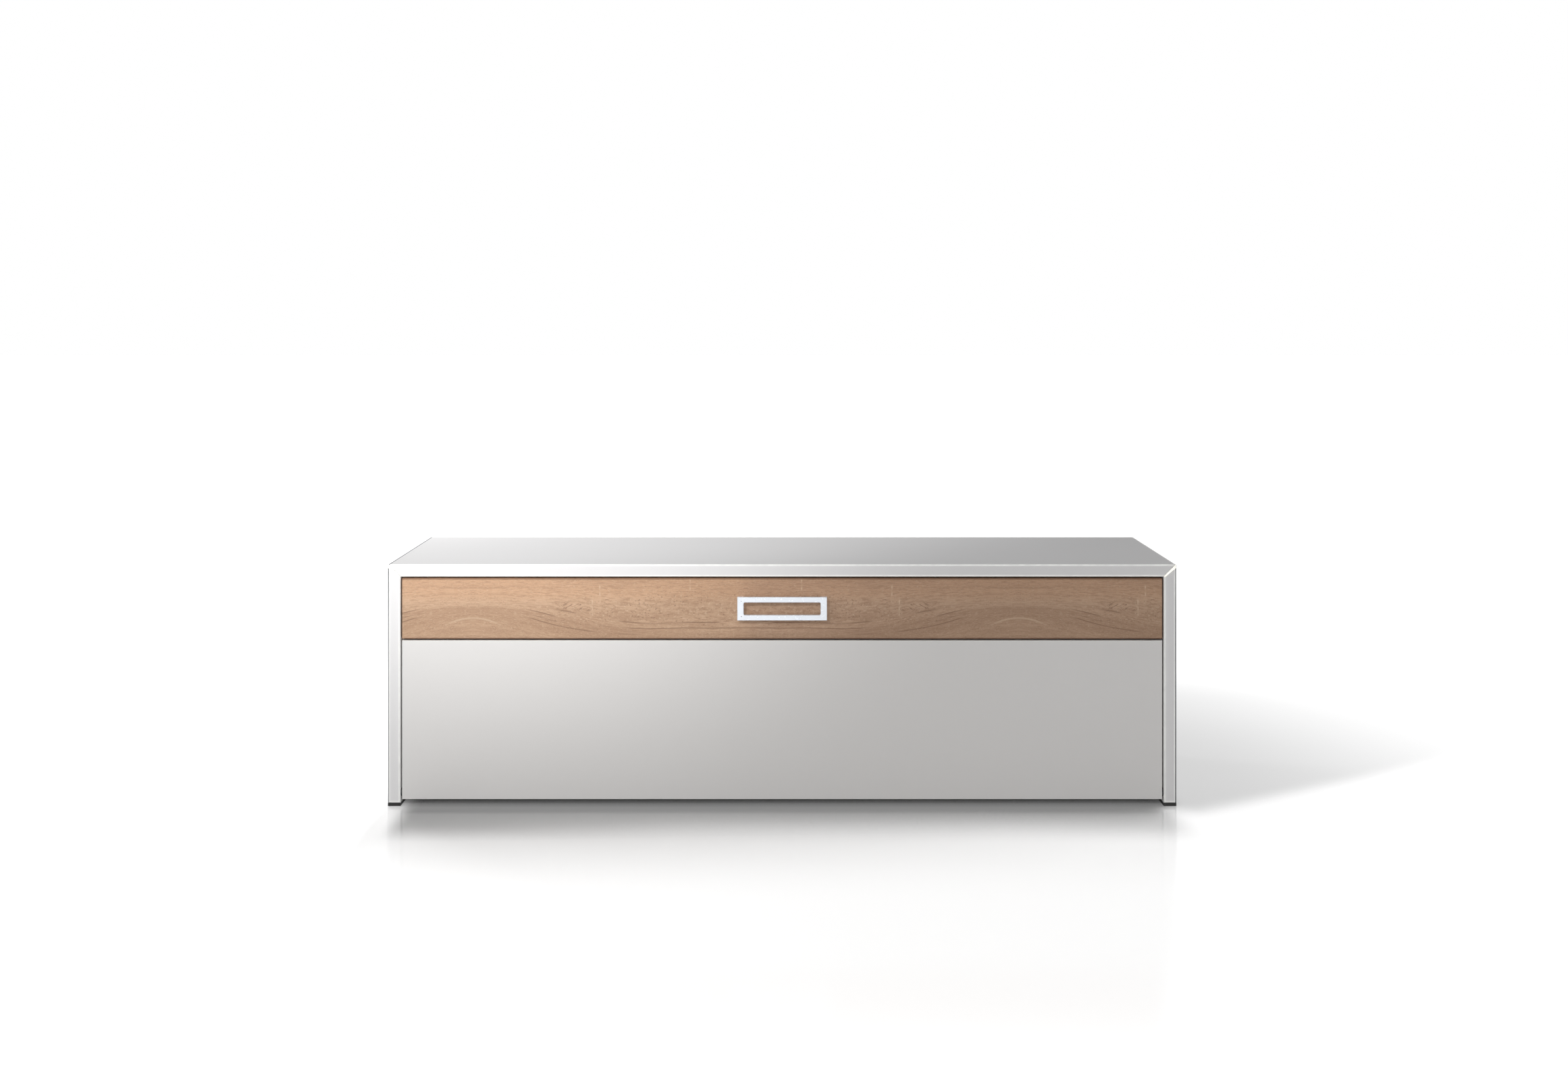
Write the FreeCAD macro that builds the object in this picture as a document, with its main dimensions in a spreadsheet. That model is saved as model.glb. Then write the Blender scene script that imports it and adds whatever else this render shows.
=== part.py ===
import FreeCAD, Part

import math
import os
import re

import Sketcher

# TV cabinet: a mitred white case on two low glides, with one wide wooden drawer on roller runners
# above one full-width flap that turns down on end pins and hangs on a pair of brake stays.
# X runs to the right, Y to the back and Z up. The origin lies on the floor, under the middle of the
# whole cabinet with its handle.

# Driving dimensions, in millimetres and degrees
DIMENSIONS = {
    # Case
    "cabinet_width": 1500,
    "cabinet_depth": 450,
    "cabinet_height": 460,
    "panel_thickness": 24,
    "corner_round": 3,
    "mitre_angle": 45,
    "case_bevel": 1.2,
    "glide_height": 6,
    "base_thickness": 19,
    "divider_thickness": 16,
    "partition_thickness": 16,
    "back_thickness": 8,
    "back_lip": 12,
    "cable_hole_radius": 30,
    "cable_hole_height": 130,
    # Loose tongues between the boards, and splines across the mitres. A spline's reach and bulk are
    # half its width and half its thickness, measured along X
    "tongue_thickness": 6,
    "tongue_depth": 8,
    "tongue_inset": 30,
    "spline_reach": 6,
    "spline_bulk": 1.5,
    # Shelves
    "shelf_thickness": 16,
    "shelf_play": 0.5,
    "shelf_setback": 40,
    "shelf_cable_gap": 20,
    "bearer_width": 12,
    "bearer_height": 12,
    "bearer_inset": 20,
    # Fronts
    "front_thickness": 19,
    "front_gap": 3,
    "front_bevel": 0.8,
    "drawer_front_height": 115,
    "flap_foot_gap": 7,
    "stop_gap": 3,
    # Handle
    "handle_length": 170,
    "handle_height": 44,
    "handle_projection": 14,
    "handle_standoff": 5,
    "handle_end_width": 12,
    "handle_bar_height": 10,
    "handle_window_round": 2.5,
    "handle_bevel": 0.6,
    "handle_screw_radius": 2,
    "handle_screw_grip": 9,
    "handle_screw_head_radius": 4,
    "handle_screw_head": 2.5,
    "screw_play": 0.25,
    # Drawer box
    "box_lift": 12,
    "box_height": 90,
    "box_rear_gap": 23,
    "box_side_thickness": 12,
    "box_floor_thickness": 8,
    "box_floor_lift": 10,
    "groove_depth": 6,
    # Runners and their rollers
    "runner_space": 12.5,
    "runner_sheet": 1.2,
    "runner_setback": 6,
    "runner_lift": 1.5,
    "rider_play": 0.8,
    "flange_play": 1.3,
    "front_roller_radius": 10,
    "rear_roller_radius": 9,
    "roller_width": 6.5,
    "roller_play": 0.3,
    "roller_end_gap": 2,
    "roller_side_play": 0.2,
    "axle_radius": 2.5,
    "axle_head_radius": 4,
    "axle_head": 0.8,
    "running_play": 0.05,
    # Flap pivots
    "flap_drop": 12,
    "swing_gap": 1.5,
    "pivot_radius": 3,
    "pivot_reach": 12,
    "pivot_root": 12,
    "pivot_end_gap": 0.5,
    "collar_radius": 8,
    "collar_thickness": 1.5,
    "bush_radius": 5,
    "bush_floor": 1.5,
    # Flap stays
    "stay_standoff": 12,
    "stay_angle": 14,
    "flap_opening": 90,
    "rod_radius": 3,
    "rod_eye_radius": 6,
    "rod_eye_width": 5,
    "rod_stop_radius": 5.5,
    "rod_stop_length": 5,
    "block_length": 24,
    "block_height": 16,
    "block_wall": 3,
    "block_bridge": 1.5,
    "stay_pin_radius": 2.5,
    "stay_pin_reach": 4.5,
    "stay_side_play": 0.5,
    "stay_plate": 2,
    "stay_plate_width": 20,
    "stay_plate_height": 46,
    "stay_foot_width": 18,
    "stay_foot_height": 34,
    "stay_ear_thickness": 2.5,
    "stay_ear_margin": 6,
    "cut_corner": 4,
    # Touch latches
    "latch_width": 16,
    "latch_height": 14,
    "latch_length": 52,
    "latch_setback": 1,
    "latch_bevel": 1.5,
    "plunger_radius": 4,
    "plunger_length": 38,
    "plunger_play": 0.3,
    "strike_radius": 8,
    "strike_thickness": 1.5,
}

# Shares of the lengths that they place something along
SHARES = {
    "stay_reach_share": 0.53,
    "shelf_height_share": 0.4445,
    "cable_hole_place_share": 0.5,
    "latch_place_share": 0.5,
    "handle_rise_share": 0.013,
}

# Places worked out from the driving dimensions, each in terms of the ones above it
PLACES = {
    "half_width": "cabinet_width / 2",
    "inner_half": "half_width - panel_thickness",
    "top_underside": "cabinet_height - panel_thickness",
    "rear_face": "(cabinet_depth + handle_projection) / 2",
    "front_face": "rear_face - cabinet_depth",
    "front_inner": "front_face + front_thickness",
    "board_front": "front_inner + stop_gap",
    "back_front": "rear_face - back_thickness",
    "back_half": "half_width - back_lip",
    "back_top": "cabinet_height - back_lip",
    "front_half": "inner_half - front_gap",
    "drawer_front_top": "top_underside - front_gap",
    "drawer_front_foot": "drawer_front_top - drawer_front_height",
    "flap_top": "drawer_front_foot - front_gap",
    "flap_foot": "glide_height + flap_foot_gap",
    "divider_top": "drawer_front_foot - front_gap / 2",
    "divider_foot": "divider_top - divider_thickness",
    "divider_middle": "divider_top - divider_thickness / 2",
    # The flap turns about a line in the middle of its thickness, and lies level with the base when open
    "hinge_y": "front_face + front_thickness / 2",
    "hinge_z": "flap_foot + flap_drop",
    "base_top": "hinge_z + front_thickness / 2",
    "base_foot": "base_top - base_thickness",
    "base_middle": "base_top - base_thickness / 2",
    "base_front": "hinge_y + sqrt(flap_drop ^ 2 + (front_thickness / 2) ^ 2) + swing_gap",
    "tongue_front": "base_front + tongue_inset",
    "tongue_rear": "back_front - tongue_inset",
    "spline_front": "front_face + tongue_inset",
    "shelf_front": "board_front + shelf_setback",
    "shelf_rear": "back_front - shelf_cable_gap",
    "partition_face": "partition_thickness / 2",
    "cable_hole_x": "partition_face + cable_hole_place_share * (inner_half - partition_face)",
    # Drawer box
    "box_foot": "divider_top + box_lift",
    "box_top": "box_foot + box_height",
    "box_half": "inner_half - runner_space",
    "box_inner_half": "box_half - box_side_thickness",
    "box_rear": "back_front - box_rear_gap",
    "box_front_rear": "front_inner + box_side_thickness",
    "box_floor_foot": "box_foot + box_floor_lift",
    "box_floor_top": "box_floor_foot + box_floor_thickness",
    "handle_z": "drawer_front_foot + drawer_front_height / 2 + handle_rise_share * drawer_front_height",
    "handle_screw_x": "handle_length / 2 - handle_end_width / 2",
    # Runners: the drawer's rider lies over the case's channel, and a roller of each carries the other
    "runner_front": "front_inner + runner_setback",
    "runner_rear": "box_rear + runner_setback",
    "runner_foot": "box_foot + runner_lift",
    "channel_floor": "runner_foot + runner_sheet",
    "channel_roof": "channel_floor + 2 * rear_roller_radius + 2 * roller_play",
    "runner_top": "channel_roof + runner_sheet",
    "rider_foot": "runner_top + rider_play",
    "rider_top": "rider_foot + runner_sheet",
    "channel_web": "inner_half - runner_sheet",
    "rider_web": "box_half + runner_sheet",
    "roller_middle": "(rider_web + channel_web) / 2",
    "front_roller_y": "runner_front + front_roller_radius + roller_end_gap",
    "front_roller_z": "rider_foot - roller_play - front_roller_radius",
    "channel_front": "front_roller_y + front_roller_radius + roller_end_gap",
    "rear_roller_y": "runner_rear - runner_sheet - roller_play - rear_roller_radius",
    "rear_roller_z": "channel_floor + roller_play + rear_roller_radius",
    # Stays: the rod's pivot on the flap and the swivel block on the case lie equally far from the
    # flap's hinge line, so the rod turns by exactly half the flap's angle, through the block's middle
    "stay_reach": "stay_reach_share * (flap_top - flap_foot)",
    "stay_offset": "front_thickness / 2 + stay_standoff",
    "stay_rise": "sqrt(stay_reach ^ 2 - stay_offset ^ 2)",
    "rod_pivot_y": "hinge_y + stay_offset",
    "rod_pivot_z": "hinge_z + stay_rise",
    "swivel_lean": "atan(stay_offset / stay_rise) + stay_angle * 1 deg",
    "swivel_y": "hinge_y + stay_reach * sin(swivel_lean)",
    "swivel_z": "hinge_z + stay_reach * cos(swivel_lean)",
    "rod_slope": "atan((swivel_z - rod_pivot_z) / (swivel_y - rod_pivot_y))",
    "rod_drawn": "2 * stay_reach * sin((flap_opening + stay_angle) / 2 * 1 deg)",
    "rod_stop_start": "rod_drawn + block_length / 2 + roller_play",
    "rod_end": "rod_stop_start + rod_stop_length",
    "block_outer": "inner_half - stay_plate - stay_side_play",
    "stay_plane": "block_outer - stay_pin_reach - block_bridge - rod_radius",
    "block_inner": "stay_plane - rod_radius - block_wall",
    "stay_ear": "stay_plane - rod_eye_width / 2 - stay_side_play",
    # The shelves lie above the sweep of the stays
    "shelf_foot": "swivel_z + shelf_height_share * (divider_foot - swivel_z)",
    # Touch latches
    "latch_x": "partition_face + latch_place_share * (inner_half - partition_face)",
    "latch_z": "divider_foot - latch_height / 2",
    "latch_front": "board_front + latch_setback",
    "plunger_front": "front_inner + strike_thickness + plunger_play",
    "plunger_rear": "plunger_front + plunger_length",
}

PARTS_FOLDER = "parts"
SAME_PLACE = 1e-4

document = FreeCAD.newDocument("tv_cabinet")
nodes = []


# Sheets and formulas
def fill_sheet(name, cells):
    sheet = document.addObject("Spreadsheet::Sheet", name)
    for row, (alias, content) in enumerate(cells.items(), 1):
        sheet.set(f"A{row}", alias)
        sheet.set(f"B{row}", content)
        sheet.setAlias(f"B{row}", alias)
    document.recompute()
    return sheet


def qualified(formula, sheets):
    """The formula with each sheet's name put before the aliases that it holds."""
    def with_owner(match):
        word = match.group(0)
        for sheet_name, aliases in sheets.items():
            if word in aliases:
                return f"{sheet_name}.{word}"
        return word
    return re.sub(r"[a-z_]+", with_owner, formula)


SIZE_SHEETS = {"dims": DIMENSIONS, "shares": SHARES}
ALL_SHEETS = {**SIZE_SHEETS, "places": PLACES}

dims = fill_sheet("dims", {name: str(size) for name, size in DIMENSIONS.items()})
shares = fill_sheet("shares", {name: str(share) for name, share in SHARES.items()})
places = fill_sheet("places", {name: "=" + qualified(text, SIZE_SHEETS) for name, text in PLACES.items()})


def bind(item, property_name, formula):
    item.setExpression(property_name, qualified(formula, ALL_SHEETS))


def number(formula):
    found = dims.evalExpression(qualified(formula, ALL_SHEETS))
    return float(getattr(found, "Value", found))


# Sketches

def origin_item(body, role):
    """One of the body's own origin planes or axes."""
    return next(item for item in body.Origin.OriginFeatures if item.Role == role)


def rectangle(low_x, low_y, high_x, high_y):
    return [(low_x, low_y), (high_x, low_y), (high_x, high_y), (low_x, high_y)]


def draw_circle(sketch, centre_x, centre_y, radius):
    centre = FreeCAD.Vector(number(centre_x), number(centre_y), 0)
    circle = Part.Circle(centre, FreeCAD.Vector(0, 0, 1), number(radius))
    index = sketch.addGeometry(circle, False)
    limits = (("DistanceX", centre_x), ("DistanceY", centre_y))
    for kind, formula in limits:
        limit = sketch.addConstraint(Sketcher.Constraint(kind, -1, 1, index, 3, number(formula)))
        bind(sketch, f"Constraints[{limit}]", formula)
    limit = sketch.addConstraint(Sketcher.Constraint("Radius", index, number(radius)))
    bind(sketch, f"Constraints[{limit}]", radius)


def edge_between(start, end, radius):
    """A straight edge, or an arc of the radius that bulges to the right of its way."""
    if radius is None:
        return Part.LineSegment(start, end)
    chord = end - start
    half = chord.Length / 2
    side = FreeCAD.Vector(-chord.y, chord.x, 0)
    side.normalize()
    size = number(radius)
    centre = (start + end) / 2 + side * math.sqrt(size ** 2 - half ** 2)
    circle = Part.Circle(centre, FreeCAD.Vector(0, 0, 1), size)
    return Part.ArcOfCircle(circle, circle.parameter(start), circle.parameter(end))


def draw_outline(sketch, outline):
    """A closed outline, counter-clockwise, whose points may name the radius of the arc that follows."""
    corners = [FreeCAD.Vector(number(point[0]), number(point[1]), 0) for point in outline]
    radii = [point[2] if len(point) > 2 else None for point in outline]
    count = len(corners)
    indices = []
    for place, corner in enumerate(corners):
        edge = edge_between(corner, corners[(place + 1) % count], radii[place])
        indices.append(sketch.addGeometry(edge, False))
    for place, index in enumerate(indices):
        following = indices[(place + 1) % count]
        sketch.addConstraint(Sketcher.Constraint("Coincident", index, 2, following, 1))
    for index, point, radius in zip(indices, outline, radii):
        for kind, formula in zip(("DistanceX", "DistanceY"), point[:2]):
            limit = sketch.addConstraint(Sketcher.Constraint(kind, -1, 1, index, 1, number(formula)))
            bind(sketch, f"Constraints[{limit}]", formula)
        if radius is not None:
            limit = sketch.addConstraint(Sketcher.Constraint("Radius", index, number(radius)))
            bind(sketch, f"Constraints[{limit}]", radius)


def add_sketch(body, name, role, offset, outlines):
    """A sketch on one of the body's origin planes, moved by the offset's three formulas."""
    sketch = body.newObject("Sketcher::SketchObject", name)
    sketch.AttachmentSupport = (origin_item(body, role), [""])
    sketch.MapMode = "FlatFace"
    for axis, formula in zip("xyz", offset):
        bind(sketch, f"AttachmentOffset.Base.{axis}", formula)
    for outline in outlines:
        if isinstance(outline[0], tuple):
            draw_outline(sketch, outline)
        else:
            draw_circle(sketch, *outline)
    return sketch


# Features of a body. The plane YZ looks along +X, XY along +Z, and XZ along -Y, so lengths on XZ
# run against its normal.

PLANE_ROLES = {"x": "YZ_Plane", "y": "XZ_Plane", "z": "XY_Plane"}


def plane_offset(axis, start):
    return ("0", "0", f"-({start})" if axis == "y" else start)


def new_body(label):
    body = document.addObject("PartDesign::Body", label)
    body.Label = label
    return body


def add_pad(body, name, axis, start, length, outlines):
    """Material from the start along +axis for the length."""
    sketch = add_sketch(body, name + "_sketch", PLANE_ROLES[axis], plane_offset(axis, start), outlines)
    pad = body.newObject("PartDesign::Pad", name)
    pad.Profile = sketch
    pad.Reversed = axis == "y"
    bind(pad, "Length", length)
    return pad


def add_pocket(body, name, axis, start, length, outlines):
    """A cut from the start along +axis for the length."""
    sketch = add_sketch(body, name + "_sketch", PLANE_ROLES[axis], plane_offset(axis, start), outlines)
    pocket = body.newObject("PartDesign::Pocket", name)
    pocket.Profile = sketch
    pocket.Reversed = axis != "y"
    bind(pocket, "Length", length)
    return pocket


def add_cylinder(body, name, kind, axis, centre, start, length, radius):
    """An added or subtracted cylinder from the start along +axis; centre is its other two places."""
    cylinder = body.newObject(f"PartDesign::{kind}Cylinder", name)
    cylinder.AttachmentSupport = (origin_item(body, PLANE_ROLES[axis]), [""])
    cylinder.MapMode = "FlatFace"
    along = f"-(({start}) + ({length}))" if axis == "y" else start
    for letter, formula in zip("xyz", (*centre, along)):
        bind(cylinder, f"AttachmentOffset.Base.{letter}", formula)
    bind(cylinder, "Radius", radius)
    bind(cylinder, "Height", length)
    return cylinder


def add_bore(body, name, axis, centre, start, length, radius):
    return add_cylinder(body, name, "Subtractive", axis, centre, start, length, radius)


def add_turning(body, name, axis, centre, profile):
    """A solid of revolution about a line along X or Y; the profile is (place along it, radius)."""
    if axis == "x":
        offset = ("0", *centre)
        outline = profile
        axis_name = "H_Axis"
    else:
        offset = (centre[0], "0", centre[1])
        outline = [(radius, place) for place, radius in profile]
        axis_name = "V_Axis"
    sketch = add_sketch(body, name + "_sketch", "XY_Plane", offset, [outline])
    turning = body.newObject("PartDesign::Revolution", name)
    turning.Profile = sketch
    turning.ReferenceAxis = (sketch, [axis_name])
    turning.Angle = 360
    return turning


def ease_edges(body, name, kind, property_name, size, chosen):
    """A chamfer or fillet on each edge of the body so far that passes the test."""
    document.recompute()
    base = body.Tip
    names = [f"Edge{place}" for place, edge in enumerate(base.Shape.Edges, 1) if chosen(edge)]
    eased = body.newObject(f"PartDesign::{kind}", name)
    eased.Base = (base, names)
    bind(eased, property_name, size)
    return eased


def lies_at(edge, axis, formula):
    place = number(formula)
    return all(abs(getattr(vertex, axis) - place) < SAME_PLACE for vertex in edge.Vertexes)


def is_front_edge(edge):
    return lies_at(edge, "Y", "front_face")


def runs_along(edge, axis):
    if len(edge.Vertexes) != 2:
        return False
    step = edge.Vertexes[1].Point - edge.Vertexes[0].Point
    return abs(abs(getattr(step, axis)) - step.Length) < SAME_PLACE


def runs_across(edge):
    return runs_along(edge, "x")


def keep(item):
    nodes.append(item)
    return item


def mirror_of(source):
    """The left-hand piece that matches a right-hand one."""
    label = source.Label.replace("right_", "left_")
    copy = document.addObject("Part::Mirroring", label)
    copy.Source = source
    copy.Normal = FreeCAD.Vector(1, 0, 0)
    copy.Label = label
    return copy


def keep_pair(source):
    keep(source)
    keep(mirror_of(source))


def keep_group(label, pieces):
    """Identical pieces as one node."""
    group = document.addObject("Part::Compound", label)
    group.Links = pieces
    group.Label = label
    return keep(group)


def keep_twins(label, source):
    """A small right-hand piece and its mirror image as one node."""
    return keep_group(label, [source, mirror_of(source)])


def place_strip(name, low, sizes):
    """A plain strip of wood, from its lowest corner."""
    strip = document.addObject("Part::Box", name)
    for letter, formula in zip("xyz", low):
        bind(strip, f"Placement.Base.{letter}", formula)
    for side, formula in zip(("Length", "Width", "Height"), sizes):
        bind(strip, side, formula)
    return strip


# Case

HALF_TONGUE = "tongue_thickness / 2"
SPLINE_LENGTH = "tongue_rear - spline_front"
BOARD_MIDDLES = {"base": "base_middle", "divider": "divider_middle"}


def end_groove(middle):
    """A tongue's section in the end of the base or divider, seen along X."""
    return rectangle("tongue_front", f"{middle} - {HALF_TONGUE}", "tongue_rear", f"{middle} + {HALF_TONGUE}")


def partition_groove():
    """A tongue's section in the end of the partition, seen along Z."""
    return rectangle(f"-{HALF_TONGUE}", "tongue_front", HALF_TONGUE, "tongue_rear")


def spline_section():
    """The section of the right-hand spline, square across the mitre at its middle."""
    across = "(inner_half + half_width) / 2"
    up = "(top_underside + cabinet_height) / 2"
    return [
        (f"{across} + spline_reach - spline_bulk", f"{up} - spline_reach - spline_bulk"),
        (f"{across} + spline_reach + spline_bulk", f"{up} - spline_reach + spline_bulk"),
        (f"{across} - spline_reach + spline_bulk", f"{up} + spline_reach + spline_bulk"),
        (f"{across} - spline_reach - spline_bulk", f"{up} + spline_reach - spline_bulk"),
    ]


def make_top_panel():
    """Mitred at both ends, rounded at the outer corners, with a rebate for the back."""
    body = new_body("top_panel")
    spline = spline_section()
    left_spline = [(f"-({across})", up) for across, up in spline[::-1]]
    tip = "corner_round * (1 - cos(mitre_angle))"
    outline = [
        ("-inner_half", "top_underside"),
        ("inner_half", "top_underside"),
        (f"half_width - {tip}", f"cabinet_height - {tip}", "corner_round"),
        ("half_width - corner_round", "cabinet_height"),
        ("-half_width + corner_round", "cabinet_height", "corner_round"),
        (f"-half_width + {tip}", f"cabinet_height - {tip}"),
    ]
    add_pad(body, "board", "y", "front_face", "cabinet_depth", [outline])
    rebate = rectangle("-back_half", "top_underside", "back_half", "back_top")
    add_pocket(body, "back_rebate", "y", "back_front", "back_thickness", [rebate])
    add_pocket(body, "spline_grooves", "y", "spline_front", SPLINE_LENGTH, [spline, left_spline])

    def is_outer(edge):
        at_rear_top = lies_at(edge, "Y", "rear_face") and lies_at(edge, "Z", "cabinet_height")
        return is_front_edge(edge) or at_rear_top

    ease_edges(body, "eased_edges", "Chamfer", "Size", "case_bevel", is_outer)
    return keep(body)


def make_side_panel():
    """Mitred to the top, rebated for the back, grooved for the boards and bored for the flap's pivot."""
    body = new_body("right_side_panel")
    tip = "corner_round * (1 - cos(mitre_angle))"
    outline = [
        ("inner_half", "glide_height"),
        ("half_width", "glide_height"),
        ("half_width", "cabinet_height - corner_round", "corner_round"),
        (f"half_width - {tip}", f"cabinet_height - {tip}"),
        ("inner_half", "top_underside"),
    ]
    add_pad(body, "board", "y", "front_face", "cabinet_depth", [outline])
    rebate = rectangle("inner_half", "glide_height", "back_half", "back_top")
    add_pocket(body, "back_rebate", "y", "back_front", "back_thickness", [rebate])
    add_pocket(body, "spline_groove", "y", "spline_front", SPLINE_LENGTH, [spline_section()])
    for board, middle in BOARD_MIDDLES.items():
        add_pocket(body, f"{board}_groove", "x", "inner_half", "tongue_depth", [end_groove(middle)])
    add_bore(body, "pivot_hole", "x", ("hinge_y", "hinge_z"), "inner_half", "pivot_root", "pivot_radius")
    ease_edges(body, "eased_edges", "Chamfer", "Size", "case_bevel", is_front_edge)
    keep_pair(body)


def make_cross_board(label, front, foot, thickness, middle, partition_start):
    """A board from side to side, grooved at both ends and for the centre partition."""
    body = new_body(label)
    outline = rectangle("-inner_half", front, "inner_half", "back_front")
    add_pad(body, "board", "z", foot, thickness, [outline])
    groove = end_groove(middle)
    add_pocket(body, "right_groove", "x", "inner_half - tongue_depth", "tongue_depth", [groove])
    add_pocket(body, "left_groove", "x", "-inner_half", "tongue_depth", [groove])
    add_pocket(body, "partition_groove", "z", partition_start, "tongue_depth", [partition_groove()])
    return keep(body)


def make_centre_partition():
    body = new_body("centre_partition")
    outline = rectangle("board_front", "base_top", "back_front", "divider_foot")
    add_pad(body, "board", "x", "-partition_face", "partition_thickness", [outline])
    add_pocket(body, "lower_groove", "z", "base_top", "tongue_depth", [partition_groove()])
    upper_start = "divider_foot - tongue_depth"
    add_pocket(body, "upper_groove", "z", upper_start, "tongue_depth", [partition_groove()])
    return keep(body)


def make_mitre_splines():
    body = new_body("right_mitre_spline")
    add_pad(body, "strip", "y", "spline_front", SPLINE_LENGTH, [spline_section()])
    keep_twins("mitre_splines", body)


def make_tongues():
    """Loose tongues, half in the end of one board and half in the board that it meets."""
    width = "2 * tongue_depth"
    length = "tongue_rear - tongue_front"
    strips = []
    for board, middle in BOARD_MIDDLES.items():
        for side, end in (("right", "inner_half"), ("left", "-inner_half")):
            low = (f"{end} - tongue_depth", "tongue_front", f"{middle} - {HALF_TONGUE}")
            sizes = (width, length, "tongue_thickness")
            strips.append(place_strip(f"{side}_{board}_tongue", low, sizes))
    keep_group("case_tongues", strips)
    partition_strips = []
    for name, end in (("lower", "base_top"), ("upper", "divider_foot")):
        low = (f"-{HALF_TONGUE}", "tongue_front", f"{end} - tongue_depth")
        sizes = ("tongue_thickness", length, width)
        partition_strips.append(place_strip(f"{name}_partition_tongue", low, sizes))
    keep_group("partition_tongues", partition_strips)


def make_back_panel():
    """Let into the rebates, with a round cable outlet behind each compartment."""
    body = new_body("back_panel")
    outline = rectangle("-back_half", "base_foot", "back_half", "back_top")
    holes = [
        ("cable_hole_x", "cable_hole_height", "cable_hole_radius"),
        ("-cable_hole_x", "cable_hole_height", "cable_hole_radius"),
    ]
    add_pad(body, "board", "y", "back_front", "back_thickness", [outline])
    add_pocket(body, "cable_holes", "y", "back_front", "back_thickness", [list(hole) for hole in holes])
    return keep(body)


def make_glide():
    """A low strip as wide as the side panel, under its whole depth."""
    body = new_body("right_glide")
    outline = rectangle("inner_half", "front_face", "half_width", "rear_face")
    add_pad(body, "strip", "z", "0", "glide_height", [outline])
    keep_pair(body)


def make_shelf():
    body = new_body("right_shelf")
    outline = rectangle(
        "partition_face + shelf_play", "shelf_front", "inner_half - shelf_play", "shelf_rear"
    )
    add_pad(body, "board", "z", "shelf_foot", "shelf_thickness", [outline])
    keep_pair(body)


def make_shelf_bearers():
    """A strip under each end of both shelves."""
    sizes = ("bearer_width", "shelf_rear - shelf_front - 2 * bearer_inset", "bearer_height")
    starts = (
        ("right_outer", "inner_half - bearer_width"),
        ("right_inner", "partition_face"),
        ("left_inner", "-partition_face - bearer_width"),
        ("left_outer", "-inner_half"),
    )
    bearers = []
    for name, start in starts:
        low = (start, "shelf_front + bearer_inset", "shelf_foot - bearer_height")
        bearers.append(place_strip(f"{name}_bearer", low, sizes))
    keep_group("shelf_bearers", bearers)


def make_case():
    make_top_panel()
    make_side_panel()
    make_cross_board(
        "base_panel", "base_front", "base_foot", "base_thickness",
        "base_middle", "base_top - tongue_depth",
    )
    make_cross_board(
        "divider_panel", "board_front", "divider_foot", "divider_thickness",
        "divider_middle", "divider_foot",
    )
    make_centre_partition()
    make_back_panel()
    make_glide()
    make_shelf()
    make_mitre_splines()
    make_tongues()
    make_shelf_bearers()


# Drawer

def make_front_board(label, foot, top):
    """A front with eased edges all round its face."""
    body = new_body(label)
    outline = rectangle("-front_half", foot, "front_half", top)
    add_pad(body, "board", "y", "front_face", "front_thickness", [outline])
    ease_edges(body, "eased_edges", "Chamfer", "Size", "front_bevel", is_front_edge)
    return body


def bore_handle_holes(body, start, length, radius):
    for name, place in (("right", "handle_screw_x"), ("left", "-handle_screw_x")):
        add_bore(body, f"{name}_screw_hole", "y", (place, "handle_z"), start, length, radius)


def make_drawer_front():
    body = make_front_board("drawer_front", "drawer_front_foot", "drawer_front_top")
    bore_handle_holes(body, "front_face", "front_thickness", "handle_screw_radius + screw_play")
    return keep(body)


def make_handle():
    """A flat rectangular ring on two end legs, with its long bars held off the front."""
    body = new_body("handle")
    half = "handle_length / 2"
    window_half = "handle_length / 2 - handle_end_width"
    half_height = "handle_height / 2"
    window_half_height = "handle_height / 2 - handle_bar_height"

    def ring(across, up):
        return rectangle(f"-({across})", f"handle_z - ({up})", across, f"handle_z + ({up})")

    front = "front_face - handle_projection"
    add_pad(body, "ring", "y", front, "handle_projection", [ring(half, half_height)])
    add_pocket(body, "window", "y", front, "handle_projection", [ring(window_half, window_half_height)])
    relief = ring(window_half, f"{half_height} + handle_bar_height")
    add_pocket(body, "finger_relief", "y", "front_face - handle_standoff", "handle_standoff", [relief])

    def is_window_corner(edge):
        across = number(window_half)
        up = number(window_half_height)
        middle = edge.CenterOfMass
        at_corner = abs(abs(middle.x) - across) < SAME_PLACE
        at_height = abs(abs(middle.z - number("handle_z")) - up) < SAME_PLACE
        return runs_along(edge, "y") and at_corner and at_height

    def is_face_edge(edge):
        return lies_at(edge, "Y", front)

    ease_edges(body, "window_corners", "Fillet", "Radius", "handle_window_round", is_window_corner)
    ease_edges(body, "eased_edges", "Chamfer", "Size", "handle_bevel", is_face_edge)
    bore_handle_holes(body, "front_face - handle_screw_grip", "handle_screw_grip", "handle_screw_radius")
    return keep(body)


def make_handle_screws():
    """Machine screws from inside the drawer, through both fronts into the handle's legs."""
    screws = []
    tip = "front_face - handle_screw_grip"
    head_top = "box_front_rear + handle_screw_head"
    profile = [
        (tip, "0"),
        (tip, "handle_screw_radius"),
        ("box_front_rear", "handle_screw_radius"),
        ("box_front_rear", "handle_screw_head_radius"),
        (head_top, "handle_screw_head_radius"),
        (head_top, "0"),
    ]
    for name, place in (("right", "handle_screw_x"), ("left", "-handle_screw_x")):
        body = new_body(f"{name}_handle_screw")
        add_turning(body, "screw", "y", (place, "handle_z"), profile[::-1])
        screws.append(body)
    keep_group("handle_screws", screws)


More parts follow.
